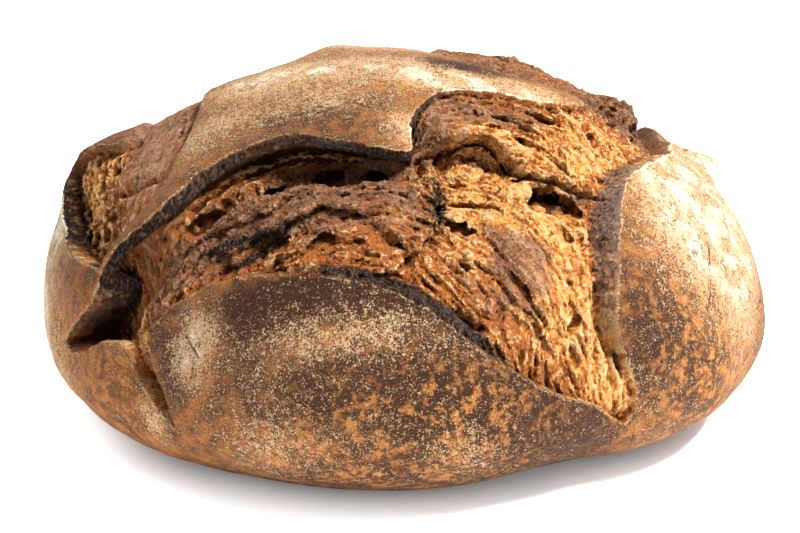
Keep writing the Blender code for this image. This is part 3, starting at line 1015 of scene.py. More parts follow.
@dataclass
class Loaf:
    """The whole baked loaf: one closed skin, with values at its points that its finish reads."""

    surface: LoafField
    step: float = field(init=False)
    middle: np.ndarray = field(init=False)
    fine_step: float = 0.7 * MM
    quick_step: float = 1.5 * MM
    steps_below: float = 3.3
    slack: float = 1.8
    margin: float = 10 * MM
    deepest: float = 30 * MM
    highest: float = 13 * MM
    tear_margin: float = 14 * MM
    crust_layer: float = 5 * MM
    hole_layer: float = 1.2 * MM
    holes_start: float = 2.5 * MM
    hole_scatter: float = 0.8 * MM
    cave_layer: float = 16 * MM
    caves_start: float = 0.8 * MM
    cave_reach: float = 1.5
    cave_bumps: float = 3 * MM
    crumb_starts: float = 1.0 * MM
    crumbs_start: tuple[float, float] = (0.2 * MM, 1.2 * MM)
    largest_crumb: float = 1.6
    facets_start: float = 0.6 * MM
    whole_skin: float = 0.6
    cut_width: float = 1.6 * MM
    cut_share: float = 0.6
    crevice_rounds: tuple[int, int] = (3, 30)
    block: int = 4
    triangles: int = 194000

    def __post_init__(self) -> None:
        """Chooses the grid's step, and starts in the middle."""
        self.step = self.fine_step
        self.middle = np.zeros(3)

    def grid(self) -> Grid:
        """Measures out the block of space that the loaf fills.

        Returns:
            The block.
        """
        body = self.surface.body
        reach = np.array([body.half_width, body.half_depth, body.crown_rise]) + self.margin
        low = np.array([-reach[0], -reach[1], body.floor() - self.steps_below * self.step])
        return Grid(self.step, low, reach)

    def fill(self, grid: Grid) -> np.ndarray:
        """Fills the grid with the field.

        Args:
            grid: the block of space.

        Returns:
            The field at each corner, below 0 inside the loaf.
        """
        body = self.surface.body
        coarse = Grid(grid.step * self.block, grid.low, grid.high + grid.step * self.block)
        values = body.over(coarse.points(np.arange(np.prod(coarse.shape)))).reshape(coarse.shape)
        for axis, length in enumerate(grid.shape):
            values = np.repeat(values, self.block, axis=axis).take(np.arange(length), axis=axis)
        values = values.astype(np.float32).ravel()
        slack = self.slack * grid.step * self.block
        near = np.flatnonzero((values > -self.deepest - slack) & (values < self.highest + slack))
        points = grid.points(near)
        values[near] = body.over(points)
        torn = self.surface.chart.read(body.place(points), "torn")[0]
        read = (values[near] > -self.deepest) & (values[near] < self.highest)
        read &= (torn > -self.tear_margin) | (np.abs(values[near]) < self.crust_layer)
        near, points = near[read], points[read]
        outside, torn = self.surface.read(points)
        values[near] = outside
        values = values.reshape(grid.shape)
        deep = np.abs(outside)
        self.open_holes(values, grid, near[(deep < self.hole_layer) & (torn > self.holes_start)])
        self.open_caves(values, grid, near[(deep < self.cave_layer) & (torn > self.caves_start)])
        height = grid.low[2] + np.arange(grid.shape[2]) * grid.step
        values = np.maximum(values, (body.floor() - height)[None, None, :].astype(np.float32))
        log.info("the field has %d corners, %d of them near the surface", values.size, len(near))
        return values

    def open_holes(self, values: np.ndarray, grid: Grid, near: np.ndarray) -> None:
        """Hollows out the torn crumb's holes.

        Args:
            values: the field, which is changed.
            grid: its grid.
            near: the flat indices of the corners that lie at the torn surface.
        """
        baking, chart = self.surface.baking, self.surface.chart
        random = np.random.default_rng(baking.seed)
        share = chart.read(self.surface.body.place(grid.points(near)), "porous")[0].astype(float)
        centres = grid.points(random.choice(near, baking.hole_count, p=share / share.sum()))
        centres = centres + random.normal(0, self.hole_scatter, centres.shape)
        low, high = baking.hole_size
        sizes = low + (high - low) * random.random(len(centres)) ** 3
        runs = self.runs(centres)
        for centre, size, run in zip(centres, sizes, runs):
            reach = size * baking.hole_stretch
            first = np.maximum(np.floor((centre - reach - grid.low) / grid.step).astype(int), 0)
            last = np.minimum(np.ceil((centre + reach - grid.low) / grid.step).astype(int) + 1, grid.shape)
            x, y, z = (grid.low[k] + np.arange(first[k], last[k]) * grid.step - centre[k] for k in range(3))
            x, y, z = x[:, None, None], y[None, :, None], z[None, None, :]
            along = x * run[0] + y * run[1] + z * run[2]
            gap = np.sqrt(x * x + y * y + z * z - along * along * (1 - 1 / baking.hole_stretch**2))
            held = values[tuple(slice(a, b) for a, b in zip(first, last))]
            np.maximum(held, (size - gap).astype(np.float32), out=held)

    def open_caves(self, values: np.ndarray, grid: Grid, near: np.ndarray) -> None:
        """Hollows out the caves under the flaps of crumb.

        Args:
            values: the field, which is changed.
            grid: its grid.
            near: the flat indices of the corners that lie near the torn surface.
        """
        points = grid.points(near)
        body, chart = self.surface.body, self.surface.chart
        place, over = body.place(points), body.over(points)
        held = values.reshape(-1)
        bumps = BakedNoise(self.surface.baking.seed + 40).at(points, self.cave_bumps)
        rough = self.surface.scoring.cave_roughness * bumps
        for cave in self.surface.scoring.caves:
            mouth = np.array([[cave.east, cave.north]])
            level = cave.rise + sum(float(layer[0]) for layer in chart.read(mouth, "crumb", "lumps"))
            east, north = ((place - mouth) * METRES_PER_DEGREE).T
            turn, tilt = math.radians(cave.turn), math.radians(cave.tilt)
            along = (east * math.cos(turn) + north * math.sin(turn)) / cave.long
            left = north * math.cos(turn) - east * math.sin(turn)
            inward = (left * math.sin(tilt) - (over - level) * math.cos(tilt)) / cave.depth
            across = (left * math.cos(tilt) + (over - level) * math.sin(tilt)) / cave.wide
            gap = np.sqrt(along**2 + across**2 + inward**2) + rough
            near_it = gap < self.cave_reach
            hollow = (1 - gap[near_it]) * cave.wide
            held[near[near_it]] = np.maximum(held[near[near_it]], hollow.astype(np.float32))

    def runs(self, points: np.ndarray) -> np.ndarray:
        """Finds which way the fibres run in space.

        Args:
            points: points from the belly's centre.

        Returns:
            The direction at each point, as rows of length 1.
        """
        place = self.surface.body.place(points)
        east, north = self.surface.chart.read(place, "flow_east", "flow_north")
        away = np.maximum(np.hypot(place[:, 0], place[:, 1]), 1e-6)
        outward = place / away[:, None]
        down = east * outward[:, 0] + north * outward[:, 1]
        across = north * outward[:, 0] - east * outward[:, 1]
        tilt = np.radians(away)
        run = np.stack([
            down * np.cos(tilt) * outward[:, 0] - across * outward[:, 1],
            down * np.cos(tilt) * outward[:, 1] + across * outward[:, 0],
            -down * np.sin(tilt),
        ], axis=1)
        return run / np.linalg.norm(run, axis=1)[:, None]

    def build(self) -> bpy.types.Object:
        """Makes the loaf.

        Returns:
            Its object, standing on z = 0 with the middle of its outline at the origin.
        """
        grid = self.grid()
        points, faces = largest_part(*net(self.fill(grid), grid))
        log.info("the net has %d faces", len(faces))
        outline = (points.min(axis=0) + points.max(axis=0))[:2] / 2
        self.middle = np.array([*outline, self.surface.body.floor()])
        piece = self.thin_out(mesh_object("baked_loaf", points, faces))
        self.crumble(piece.data)
        self.mark(piece.data)
        move_points(piece.data, -self.middle)
        return piece

    def thin_out(self, piece: bpy.types.Object) -> bpy.types.Object:
        """Leaves fewer triangles where the skin is smooth.

        Args:
            piece: the loaf's object.

        Returns:
            The same object, with its new mesh.
        """
        count = len(piece.data.polygons) * 2
        if count > self.triangles:
            thin = piece.modifiers.new("thin_out", "DECIMATE")
            thin.ratio = self.triangles / count
            graph = bpy.context.evaluated_depsgraph_get()
            mesh = bpy.data.meshes.new_from_object(piece.evaluated_get(graph))
            piece.modifiers.clear()
            piece.data = mesh
        piece.data.shade_smooth()
        log.info("the skin has %d faces", len(piece.data.polygons))
        return piece

    def crumble(self, mesh: bpy.types.Mesh) -> None:
        """Moves each point of the torn crumb in or out a little, as crumbs do.

        Args:
            mesh: the loaf's mesh, still round the belly's centre.
        """
        points = vectors(mesh.vertices, "co")
        skin, torn = self.surface.chart.read(self.surface.body.place(points), "skin", "torn")
        random = np.random.default_rng(self.surface.baking.seed + 1)
        amount = random.standard_normal(len(points)).clip(-self.largest_crumb, self.largest_crumb)
        amount = amount * self.surface.baking.crumbling
        amount = amount * smooth_step(*self.crumbs_start, torn) * (1 - self.whole_skin * skin)
        points = points + vectors(mesh.vertex_normals, "vector") * amount[:, None]
        mesh.vertices.foreach_set("co", points.astype(np.float32).ravel())
        corners = np.empty(len(mesh.loops), np.int32)
        mesh.loops.foreach_get("vertex_index", corners)
        starts = np.empty(len(mesh.polygons), np.int32)
        mesh.polygons.foreach_get("loop_start", starts)
        smooth = (torn < self.facets_start) | (skin > self.whole_skin)
        mesh.polygons.foreach_set("use_smooth", np.logical_or.reduceat(smooth[corners], starts))
        mesh.update()

    def crevices(self, mesh: bpy.types.Mesh, *rounds: int) -> list[np.ndarray]:
        """Measures how deep each point lies in a crevice of the skin.

        Args:
            mesh: the loaf's mesh.
            rounds: how many times the skin is smoothed to find its surroundings, one number for each measure.

        Returns:
            One array for each measure, in metres, below 0 where a point stands proud.
        """
        points = vectors(mesh.vertices, "co").astype(np.float64)
        normals = vectors(mesh.vertex_normals, "vector")
        ends = np.empty(len(mesh.edges) * 2, np.int32)
        mesh.edges.foreach_get("vertices", ends)
        a, b = ends.reshape(-1, 2).T
        count = len(points)
        joined = np.maximum(np.bincount(a, minlength=count) + np.bincount(b, minlength=count), 1)
        smoothed = points.T.copy()
        found = []
        for i in range(1, max(rounds) + 1):
            for k, line in enumerate(smoothed):
                near = np.bincount(a, line[b], count) + np.bincount(b, line[a], count)
                smoothed[k] = 0.5 * line + 0.5 * near / joined
            if i in rounds:
                found.append(((smoothed.T - points) * normals).sum(axis=1))
        return found

    def mark(self, mesh: bpy.types.Mesh) -> None:
        """Gives the skin's points the values that the finish reads.

        Args:
            mesh: the loaf's mesh, still round the belly's centre.
        """
        points = vectors(mesh.vertices, "co")
        place = self.surface.body.place(points)
        torn = self.surface.read(points)[1]
        names = ("strand", "thread", "skin", "crack", "burn", "around", "lumps", "face")
        values = dict(zip(names, self.surface.chart.read(place, *names)))
        values["cut"] = torn / (self.cut_share * values.pop("face") + self.cut_width)
        # deep, pit and hollow measure the skin's crevices; the finish paints shade and highlights from them
        values["deep"] = (values.pop("around") + values.pop("lumps") - self.surface.body.over(points)) / MM
        crumb = torn > self.crumb_starts
        for name, crevice in zip(("pit", "hollow"), self.crevices(mesh, *self.crevice_rounds)):
            values[name] = np.clip(crevice / crevice[crumb].std(), -3, 3)
        values["torn"] = torn / MM
        for patch in PATCHES:
            values[patch.name] = patch.at(place)
        for name, value in values.items():
            layer = mesh.attributes.new(name, "FLOAT", "POINT")
            layer.data.foreach_set("value", value.astype(np.float32))


def vectors(items: Sequence, name: str) -> np.ndarray:
    """Reads a vector property of many items.

    Args:
        items: the items, such as a mesh's vertices.
        name: the property.

    Returns:
        The vectors, as rows.
    """
    found = np.empty(len(items) * 3, np.float32)
    items.foreach_get(name, found)
    return found.reshape(-1, 3)


def mesh_object(name: str, points: np.ndarray, faces: np.ndarray) -> bpy.types.Object:
    """Makes an object from points and four-sided faces.

    Args:
        name: the object's name.
        points: its points.
        faces: the four points of each face.

    Returns:
        The object, linked to the scene.
    """
    mesh = bpy.data.meshes.new(name)
    mesh.vertices.add(len(points))
    mesh.vertices.foreach_set("co", points.astype(np.float32).ravel())
    mesh.loops.add(faces.size)
    mesh.loops.foreach_set("vertex_index", faces.astype(np.int32).ravel())
    mesh.polygons.add(len(faces))
    mesh.polygons.foreach_set("loop_start", np.arange(0, faces.size, faces.shape[1], dtype=np.int32))
    mesh.update(calc_edges=True)
    mesh.validate()
    piece = bpy.data.objects.new(name, mesh)
    bpy.context.scene.collection.objects.link(piece)
    return piece


def move_points(mesh: bpy.types.Mesh, shift: np.ndarray) -> None:
    """Moves every point of a mesh, and sets those just above the floor on it.

    Args:
        mesh: the mesh.
        shift: how far, along each axis.
    """
    points = vectors(mesh.vertices, "co") + shift
    points[:, 2] = np.where(points[:, 2] < ON_THE_FLOOR, 0, points[:, 2])
    mesh.vertices.foreach_set("co", points.astype(np.float32).ravel())
    mesh.update()


FLOUR = Patches("flour", (
    Spot(-5, -14, 0.92, 20, 8, -8), Spot(12, -20, 0.9, 10, 5, -10), Spot(25, -19, 0.9, 12, 4, 10),
    Spot(-30, -10, 0.85, 15, 8, -20), Spot(2, -38, 0.8, 6, 6), Spot(-38, -26, 0.6, 10, 8, 40),
    Spot(13, -11, -0.6, 7, 4), Spot(-5, 8, 0.8, 25, 9), Spot(-42, -69, 1.2, 6, 5),
    Spot(-10, -75.8, 0.62, 19, 3.6, -3), Spot(-33, -84, 0.34, 11, 7), Spot(-22, -91, 0.25, 20, 5),
    Spot(16, -92.5, 0.5, 8, 4), Spot(60, -27, 2.3, 12, 17, -20), Spot(68, -70, 0.2, 18, 6),
    Spot(74, -33, 0.6, 10, 14), Spot(65, 1, 1.2, 7, 6), Spot(-77, 4, 0.9, 5, 14), Spot(-59, -73, 0.7, 3, 5),
    Spot(0, 70, 0.8, 50, 14), Spot(70, 40, 0.7, 26, 20), Spot(-72, 60, 0.6, 24, 20),
    Spot(10, 104, 0.5, 60, 10), Spot(-18, -28, 0.55, 14, 6), Spot(-88, -16, 1.4, 12, 30),
))
DARK = Patches("dark", (
    Spot(-14, -70, 2.1, 20, 3.2, -8), Spot(-48.5, -69, 1.0, 3, 6), Spot(-10, -83, 0.9, 24, 5),
    Spot(-18, -32, 0.45, 16, 6, -15), Spot(18, -83, 1.2, 18, 6), Spot(12, -12, 1.1, 8, 4),
    Spot(0, 52, 0.5, 50, 6), Spot(36, -86, 1.7, 18, 8), Spot(-30, -74, 0.5, 8, 5), Spot(52, -64, 0.6, 6, 10),
    Spot(64, -60, 0.4, 16, 14), Spot(88, 5, 0.4, 10, 30), Spot(0, 92, 0.3, 50, 10), Spot(0, -98, 0.45, 60, 8),
    Spot(4, -86, 0.5, 14, 7, -10),
))
MOTTLE = Patches("mottle", (
    Spot(16, -84, 0.75, 20, 8), Spot(68, -55, 1.0, 20, 16, 30), Spot(-80, -22, 0.75, 10, 26),
    Spot(-66, -64, 0.7, 12, 12), Spot(-15, -88, 0.45, 30, 7), Spot(0, 90, 0.6, 70, 16),
    Spot(95, 10, 0.7, 14, 50), Spot(-95, 25, 0.6, 16, 50), Spot(-6, -36, 0.3, 8, 5), Spot(0, -98, 0.6, 50, 8),
))
BURNT_EDGE = Patches("burnt_edge", (
    Spot(-28, -40, 1.0, 30, 8), Spot(-2, -43, 1.0, 10, 6), Spot(5, -72, 1.0, 24, 7, -18),
    Spot(-72, -5, 1.1, 7, 24), Spot(-54, -41, 1.0, 10, 4), Spot(-64, -42, 0.4, 7, 7), Spot(6, -30, 0.7, 6, 9),
    Spot(44, -44, 1.0, 9, 24), Spot(0, 40, 0.7, 60, 9), Spot(-73, -42, 0.4, 8, 4), Spot(58, 30, 0.6, 8, 20),
))
ASH = Patches("ash", (
    Spot(44, -46, 0.75, 8, 24), Spot(-20, -39, 0.40, 38, 6), Spot(52, -16, 0.8, 8, 10),
    Spot(10, -74, 0.3, 16, 4, -15), Spot(-12, -67, 0.2, 14, 4), Spot(5, -52, 0.25, 6, 10),
    Spot(-30, -56, 0.25, 12, 4),
))
# burnt patches; the spot at (5.5, -52) on the ridge's steep end is partly painted shade
CHAR_AND_SHADE = Patches("char", (
    Spot(5.5, -52, 0.9, 5, 9), Spot(-73.5, -8, 1.0, 2.2, 22), Spot(-33, -54, 0.9, 9, 1.7, 12),
    Spot(-27, -57.5, 0.9, 8, 1.8, 20), Spot(0, -50, 0.55, 8, 6), Spot(-12, -68, 0.9, 14, 2.2, -8),
    Spot(8, -73.5, 1.0, 13, 2.6, -17), Spot(-44, -46, 0.3, 10, 3), Spot(38, -9, 0.5, 4, 5),
    Spot(-46, -3.5, 1.4, 9, 5), Spot(47, -4, 0.7, 9, 9), Spot(8, -1, 0.6, 26, 3, -20),
    Spot(26, -6, 1.5, 20, 4, -10), Spot(5, 20, 0.65, 60, 6), Spot(-66, -42, 0.2, 9, 3),
))
GOLDEN = Patches("golden", (
    Spot(14, -49, 1.9, 8, 6), Spot(24, -52, 1.3, 10, 6), Spot(33, -62, 0.9, 10, 12, -40),
    Spot(41, -70, 0.75, 14, 6, -25), Spot(50, -71, 0.9, 8, 6, -30), Spot(14, -64, 0.7, 8, 6, -20),
    Spot(30, -48, 1.2, 8, 5), Spot(21, -37, 0.9, 12, 4), Spot(35, -32, 0.9, 8, 8), Spot(44, -25, 0.8, 7, 14),
    Spot(-69, -5, 0.85, 6, 12), Spot(-68, -28, 0.75, 6, 8), Spot(-15, -61, -0.25, 22, 4),
    Spot(-15, -46, 0.2, 24, 2), Spot(-57, -58, 0.5, 5, 6), Spot(26, -60, -0.8, 10, 6, -40),
    Spot(45, 5, -0.3, 9, 9), Spot(18, -70, -0.3, 9, 3, -30), Spot(-64, -50, 0.4, 8, 8),
))
TOAST = Patches("toast", (
    Spot(-15, -52, 1.4, 26, 7), Spot(-45, -51, 0.8, 14, 7), Spot(12, -30, 1.1, 15, 6),
    Spot(5, -34, 0.9, 5, 8), Spot(26, -60, 1.5, 11, 7, -40), Spot(18, -39, 0.9, 10, 2.5),
    Spot(34, -43, 1.1, 10, 3, 8), Spot(22, -66, 0.6, 14, 4, -20), Spot(-52, -5, 1.2, 9, 30),
    Spot(0, 25, 1.5, 60, 14), Spot(28, -4, 1.6, 18, 9, -10), Spot(50, 0, 1.1, 10, 12),
    Spot(-57, -62, 0.4, 6, 10), Spot(-66, -45, 0.5, 10, 6), Spot(56, 26, 0.8, 10, 18),
    Spot(-60, 36, 0.8, 12, 16), Spot(-12, -43, 0.8, 16, 3), Spot(16, -68, 0.5, 9, 3, -20),
    Spot(28, -29, 0.4, 10, 4, -10),
))
PATCHES = (FLOUR, DARK, MOTTLE, BURNT_EDGE, ASH, CHAR_AND_SHADE, GOLDEN, TOAST)


class Shading:
    """A short way to write a material's nodes."""

    def __init__(self, name: str) -> None:
        """Makes the material.

        Args:
            name: the material's name.
        """
        self.material = bpy.data.materials.new(name)
        self.material.use_nodes = True
        self.tree = self.material.node_tree
        self.shader = self.tree.nodes["Principled BSDF"]
        self.origin = self.tree.nodes.new("ShaderNodeTexCoord").outputs["Object"]

    def plug(self, node: bpy.types.Node, inputs: dict[str | int, object]) -> None:
        """Links a node's sockets to others, or sets their values.

        Args:
            node: the node.
            inputs: what goes into its sockets, by their names or numbers.
        """
        for name, value in inputs.items():
            if isinstance(value, bpy.types.NodeSocket):
                self.tree.links.new(value, node.inputs[name])
            else:
                node.inputs[name].default_value = value

    def node(self, kind: str, inputs: dict[str | int, object], **settings: object) -> bpy.types.Node:
        """Adds a node.

        Args:
            kind: which node it is.
            inputs: what goes into its sockets, by their names or numbers.
            settings: what is set on the node itself.

        Returns:
            The node.
        """
        made = self.tree.nodes.new(kind)
        for name, value in settings.items():
            setattr(made, name, value)
        self.plug(made, inputs)
        return made

    def attribute(self, name: str) -> bpy.types.NodeSocket:
        """Returns the value of a point attribute."""
        return self.node("ShaderNodeAttribute", {}, attribute_name=name).outputs["Fac"]

    def noise(self, size: float, detail: float = 3.0, rough: float = 0.6,
              stretch: tuple[float, float, float] | None = None) -> bpy.types.NodeSocket:
        """Adds noise from 0 to 1.

        Args:
            size: how far apart its bumps are.
            detail: how many finer layers it has.
            rough: how strong those are.
            stretch: how much longer its bumps are along each axis.

        Returns:
            The socket that gives it.
        """
        place = self.origin
        if stretch is not None:
            drawn = {"Vector": place, "Scale": tuple(1 / longer for longer in stretch)}
            place = self.node("ShaderNodeMapping", drawn).outputs["Vector"]
        inputs = {"Vector": place, "Scale": 1 / size, "Detail": detail, "Roughness": rough}
        return self.node("ShaderNodeTexNoise", inputs).outputs["Fac"]

    def noise_colour(self, size: float) -> bpy.types.NodeSocket:
        """Returns noise with a value of its own along each axis."""
        return self.node("ShaderNodeTexNoise", {"Vector": self.origin, "Scale": 1 / size}).outputs["Color"]

    def cells(self, size: float, feature: str) -> bpy.types.Node:
        """Adds a pattern of cells with crooked borders.

        Args:
            size: how wide the cells are, about.
            feature: what the pattern measures.

        Returns:
            The pattern's node.
        """
        away = {0: self.noise_colour(1.2 * size), "Scale": 0.9 * size}
        bent = self.node("ShaderNodeVectorMath", away, operation="SCALE").outputs["Vector"]
        moved = self.node("ShaderNodeVectorMath", {0: self.origin, 1: bent}, operation="ADD")
        inputs = {"Vector": moved.outputs["Vector"], "Scale": 1 / size}
        return self.node("ShaderNodeTexVoronoi", inputs, feature=feature)

    def cell_border(self, size: float) -> bpy.types.NodeSocket:
        """Returns the distance to the nearest border between cells, as a share of their size."""
        return self.cells(size, "DISTANCE_TO_EDGE").outputs["Distance"]

    def cell_value(self, size: float) -> bpy.types.NodeSocket:
        """Returns a value from 0 to 1 that differs from one small cell to the next."""
        colour = self.cells(size, "F1").outputs["Color"]
        return self.node("ShaderNodeSeparateColor", {"Color": colour}).outputs["Red"]

    def math(self, how: str, a: object, b: object, clamp: bool = False) -> bpy.types.NodeSocket:
        """Returns the result of one sum."""
        return self.node("ShaderNodeMath", {0: a, 1: b}, operation=how, use_clamp=clamp).outputs[0]

    def add(self, *values: object) -> bpy.types.NodeSocket:
        """Returns the sum of the values."""
        return reduce(lambda a, b: self.math("ADD", a, b), values)

    def product(self, *values: object) -> bpy.types.NodeSocket:
        """Returns the values multiplied together."""
        return reduce(lambda a, b: self.math("MULTIPLY", a, b), values)

    def weighed(self, *parts: object, **shares: float) -> bpy.types.NodeSocket:
        """Adds up a few values.

        Args:
            parts: plain values, or pairs of a value and its weight.
            shares: the weight of each point attribute, by the attribute's name.

        Returns:
            The socket that gives it.
        """
        values = [self.product(*part) if isinstance(part, tuple) else part for part in parts]
        values += [self.product(self.attribute(name), share) for name, share in shares.items()]
        return self.add(*values)

    def centred(self, noise: bpy.types.NodeSocket) -> bpy.types.NodeSocket:
        """Returns noise from 0 to 1, moved so that its middle is 0."""
        return self.math("SUBTRACT", noise, 0.5)

    def ramp(self, value: object, low: float, high: float, to_low: float = 0.0,
             to_high: float = 1.0) -> bpy.types.NodeSocket:
        """Returns the value moved smoothly from one range to another, and held at its ends."""
        inputs = {"Value": value, "From Min": low, "From Max": high, "To Min": to_low, "To Max": to_high}
        return self.node("ShaderNodeMapRange", inputs, interpolation_type="SMOOTHSTEP").outputs["Result"]

    def mix(self, share: object, a: object, b: object) -> bpy.types.NodeSocket:
        """Returns colour a turned into colour b by the share."""
        a, b = ((*colour, 1) if isinstance(colour, tuple) else colour for colour in (a, b))
        return self.node("ShaderNodeMix", {"Factor": share, 6: a, 7: b}, data_type="RGBA").outputs[2]

    def bump(self, height: object, distance: float, strength: float = 1.0,
             normal: bpy.types.NodeSocket | None = None) -> bpy.types.NodeSocket:
        """Raises the surface by a height.

        Args:
            height: the height, from 0 to 1.
            distance: how high 1 is.
            strength: how much of it shows.
            normal: the normal that is raised.

        Returns:
            The socket that gives the new normal.
        """
        inputs = {"Height": height, "Distance": distance, "Strength": strength}
        if normal is not None:
            inputs["Normal"] = normal
        return self.node("ShaderNodeBump", inputs).outputs["Normal"]


@dataclass(frozen=True)
class BakedFinish:
    """Crust with flour, orange mottles and burnt edges, and toasted crumb where it is torn, with painted
    highlights on the crumb's crests and painted shade in its hollows, at the ridge's end and along the caves'
    lips.
    """

    dark_crust: Colour = (0.024, 0.010, 0.006)
    brown_crust: Colour = (0.270, 0.103, 0.030)
    orange_crust: Colour = (0.350, 0.145, 0.036)
    pore: Colour = (0.030, 0.013, 0.008)
    tan_flour: Colour = (0.365, 0.236, 0.126)
    cream_flour: Colour = (0.620, 0.545, 0.410)
    # burnt black, also used for painted shade on the ridge's end and the caves' lips
    char: Colour = (0.016, 0.010, 0.008)
    ash: Colour = (0.420, 0.260, 0.190)
    # partly the crumb's own pale tone, partly painted highlight on its crests
    pale_crumb_highlight: Colour = (1.000, 0.610, 0.265)
    golden_crumb: Colour = (1.000, 0.430, 0.105)
    brown_crumb: Colour = (0.460, 0.145, 0.038)
    # painted shade for the crumb's deep places, pits and hollows
    painted_hollow_shade: Colour = (0.075, 0.020, 0.006)
    toasted_crumb: Colour = (0.220, 0.092, 0.046)
    # the smooth skin's rosy tone, and painted highlight on the ridges' crests
    toasted_skin_and_highlight: Colour = (0.650, 0.365, 0.200)
    grain_size: float = 0.55 * MM
    speckle_size: float = 1.9 * MM
    blotch_size: float = 6 * MM
    mottle_size: float = 3 * MM
    flour_size: float = 9 * MM
    craze_size: float = 3.2 * MM
    crumb_grain_size: float = 0.85 * MM
    flake_size: float = 1.5 * MM
    crumb_patch_size: float = 5 * MM
    craze_patch_size: float = 7 * MM
    tear_size: float = 1.5 * MM
    edge_patch_size: float = 3 * MM
    scorch_size: float = 1.6 * MM
    streak_size: float = 0.9 * MM
    blister_size: float = 2.4 * MM
    pore_size: float = 0.9 * MM
    roughness: float = 0.72
    gloss: float = 0.03

    def make(self) -> bpy.types.Material:
        """Makes the material.

        Returns:
            The material.
        """
        s = Shading(Finish.BAKED.value)
        edge = s.weighed((s.centred(s.noise(self.tear_size)), 0.8), torn=1.0)
        crumb_share = s.ramp(edge, 0.0, 0.25)
        colour = s.mix(crumb_share, self.crust_colour(s), self.crumb_colour(s))
        colour = s.mix(self.char_share(s, crumb_share), colour, self.char_colour(s))
        s.plug(s.shader, {"Base Color": colour, "Roughness": self.roughness, "Specular IOR Level": self.gloss,
                          "Normal": self.normal(s, crumb_share)})
        return s.material

    def crust_colour(self, s: Shading) -> bpy.types.NodeSocket:
        """Mixes the crust's colour: speckled brown, orange spots, and flour in grains.

        Args:
            s: the material's nodes.

        Returns:
            The socket that gives it.
        """
        grain = s.centred(s.noise(self.grain_size, 2, 0.7))
        speckle = s.centred(s.noise(self.speckle_size, 3, 0.7))
        blotch = s.centred(s.noise(self.blotch_size, 4, 0.65))
        tone = s.weighed(0.50, (grain, 2.4), (speckle, 2.2), (blotch, 2.2), dark=-0.85)
        colour = s.mix(s.ramp(tone, 0.0, 1.0), self.dark_crust, self.brown_crust)
        spots = s.weighed(s.noise(self.mottle_size, 4, 0.65), (blotch, 0.8), (grain, 0.3))
        spots = s.product(s.ramp(spots, 0.48, 0.66), s.attribute("mottle"), 0.80)
        colour = s.mix(spots, colour, self.orange_crust)
        patchy = s.ramp(s.noise(self.flour_size, 5, 0.65), 0.25, 0.65, 0.6, 1.25)
        by_the_tear = s.ramp(s.attribute("torn"), -0.9, -0.2, 0.0, 0.40)
        cover = s.add(s.product(s.attribute("flour"), patchy), by_the_tear)
        dusted = s.weighed(cover, (grain, -3.2), (speckle, -1.9), (blotch, -0.8))
        flour = s.mix(s.ramp(cover, 0.8, 1.5), self.tan_flour, self.cream_flour)
        colour = s.mix(s.ramp(dusted, 0.20, 0.95, 0.0, 0.94), colour, flour)
        pores = s.weighed(grain, (speckle, 0.6), s.ramp(cover, 0.9, 1.7, 0.0, -0.09), dark=0.05)
        colour = s.mix(s.ramp(pores, 0.02, 0.16, 0.0, 0.75), colour, self.pore)
        colour = s.mix(self.crazing(s, cover), colour, self.pore)
        return s.mix(s.ramp(s.attribute("crack"), 0.25, 0.8), colour, self.char)

    def crazing(self, s: Shading, cover: bpy.types.NodeSocket) -> bpy.types.NodeSocket:
        """Draws the fine dark lines that split the flour where it lies thick.

        Args:
            s: the material's nodes.
            cover: how much flour lies there.

        Returns:
            The socket that gives it.
        """
        lines = s.ramp(s.cell_border(self.craze_size), 0.02, 0.09, 1.0, 0.0)
        places = s.ramp(s.noise(self.craze_patch_size, 3), 0.46, 0.60)
        return s.product(lines, s.ramp(cover, 0.55, 1.0), places, 0.7)

    def crumb_colour(self, s: Shading) -> bpy.types.NodeSocket:
        """Mixes the torn crumb's colour: golden, toasted where it stands proud, with painted highlights on
        its crests and painted shade in its hollows.

        Args:
            s: the material's nodes.

        Returns:
            The socket that gives it.
        """
        fine = s.centred(s.noise(self.crumb_grain_size, 3, 0.75))
        flake = s.centred(s.cell_value(self.flake_size))
        broad = s.centred(s.noise(self.crumb_patch_size, 3, 0.6))
        crest = s.weighed(strand=0.22, thread=0.48)
        # brown to golden; its negative pit and hollow weights paint shade into the hollows
        light = s.weighed(crest, (fine, 2.2), (flake, 0.8), (broad, 1.2), golden=1.0, pit=-0.28, hollow=-0.12)
        colour = s.mix(s.ramp(light, 0.2, 1.2), self.brown_crumb, self.golden_crumb)
        # painted highlight: pale on the crests and away from pits and hollows, partly the crumb's own pale
        # tone
        pale = s.weighed(crest, (fine, 1.4), (flake, 0.4), golden=0.40, pit=-0.50, hollow=-0.35)
        colour = s.mix(s.ramp(pale, 0.50, 1.40), colour, self.pale_crumb_highlight)
        # partly the smooth skin's rosy tone, partly painted highlight on the crests
        rosy_and_highlight = s.weighed((fine, 3.6), (flake, 0.8), (crest, 0.5), skin=0.4, pit=-0.15)
        toasted = s.mix(s.ramp(rosy_and_highlight, -0.2, 1.0), self.toasted_crumb, self.toasted_skin_and_highlight)
        burnt = s.ramp(s.weighed(fine, (flake, 0.2)), 0.06, 0.24, 0.0, 0.7)
        toasted = s.mix(burnt, toasted, self.char)
        toast = s.weighed((fine, 2.4), (flake, 0.6), (broad, 2.2), toast=1.0, golden=-0.9, hollow=-0.18,
                          pit=-0.10)
        colour = s.mix(s.ramp(toast, 0.35, 0.85), colour, toasted)
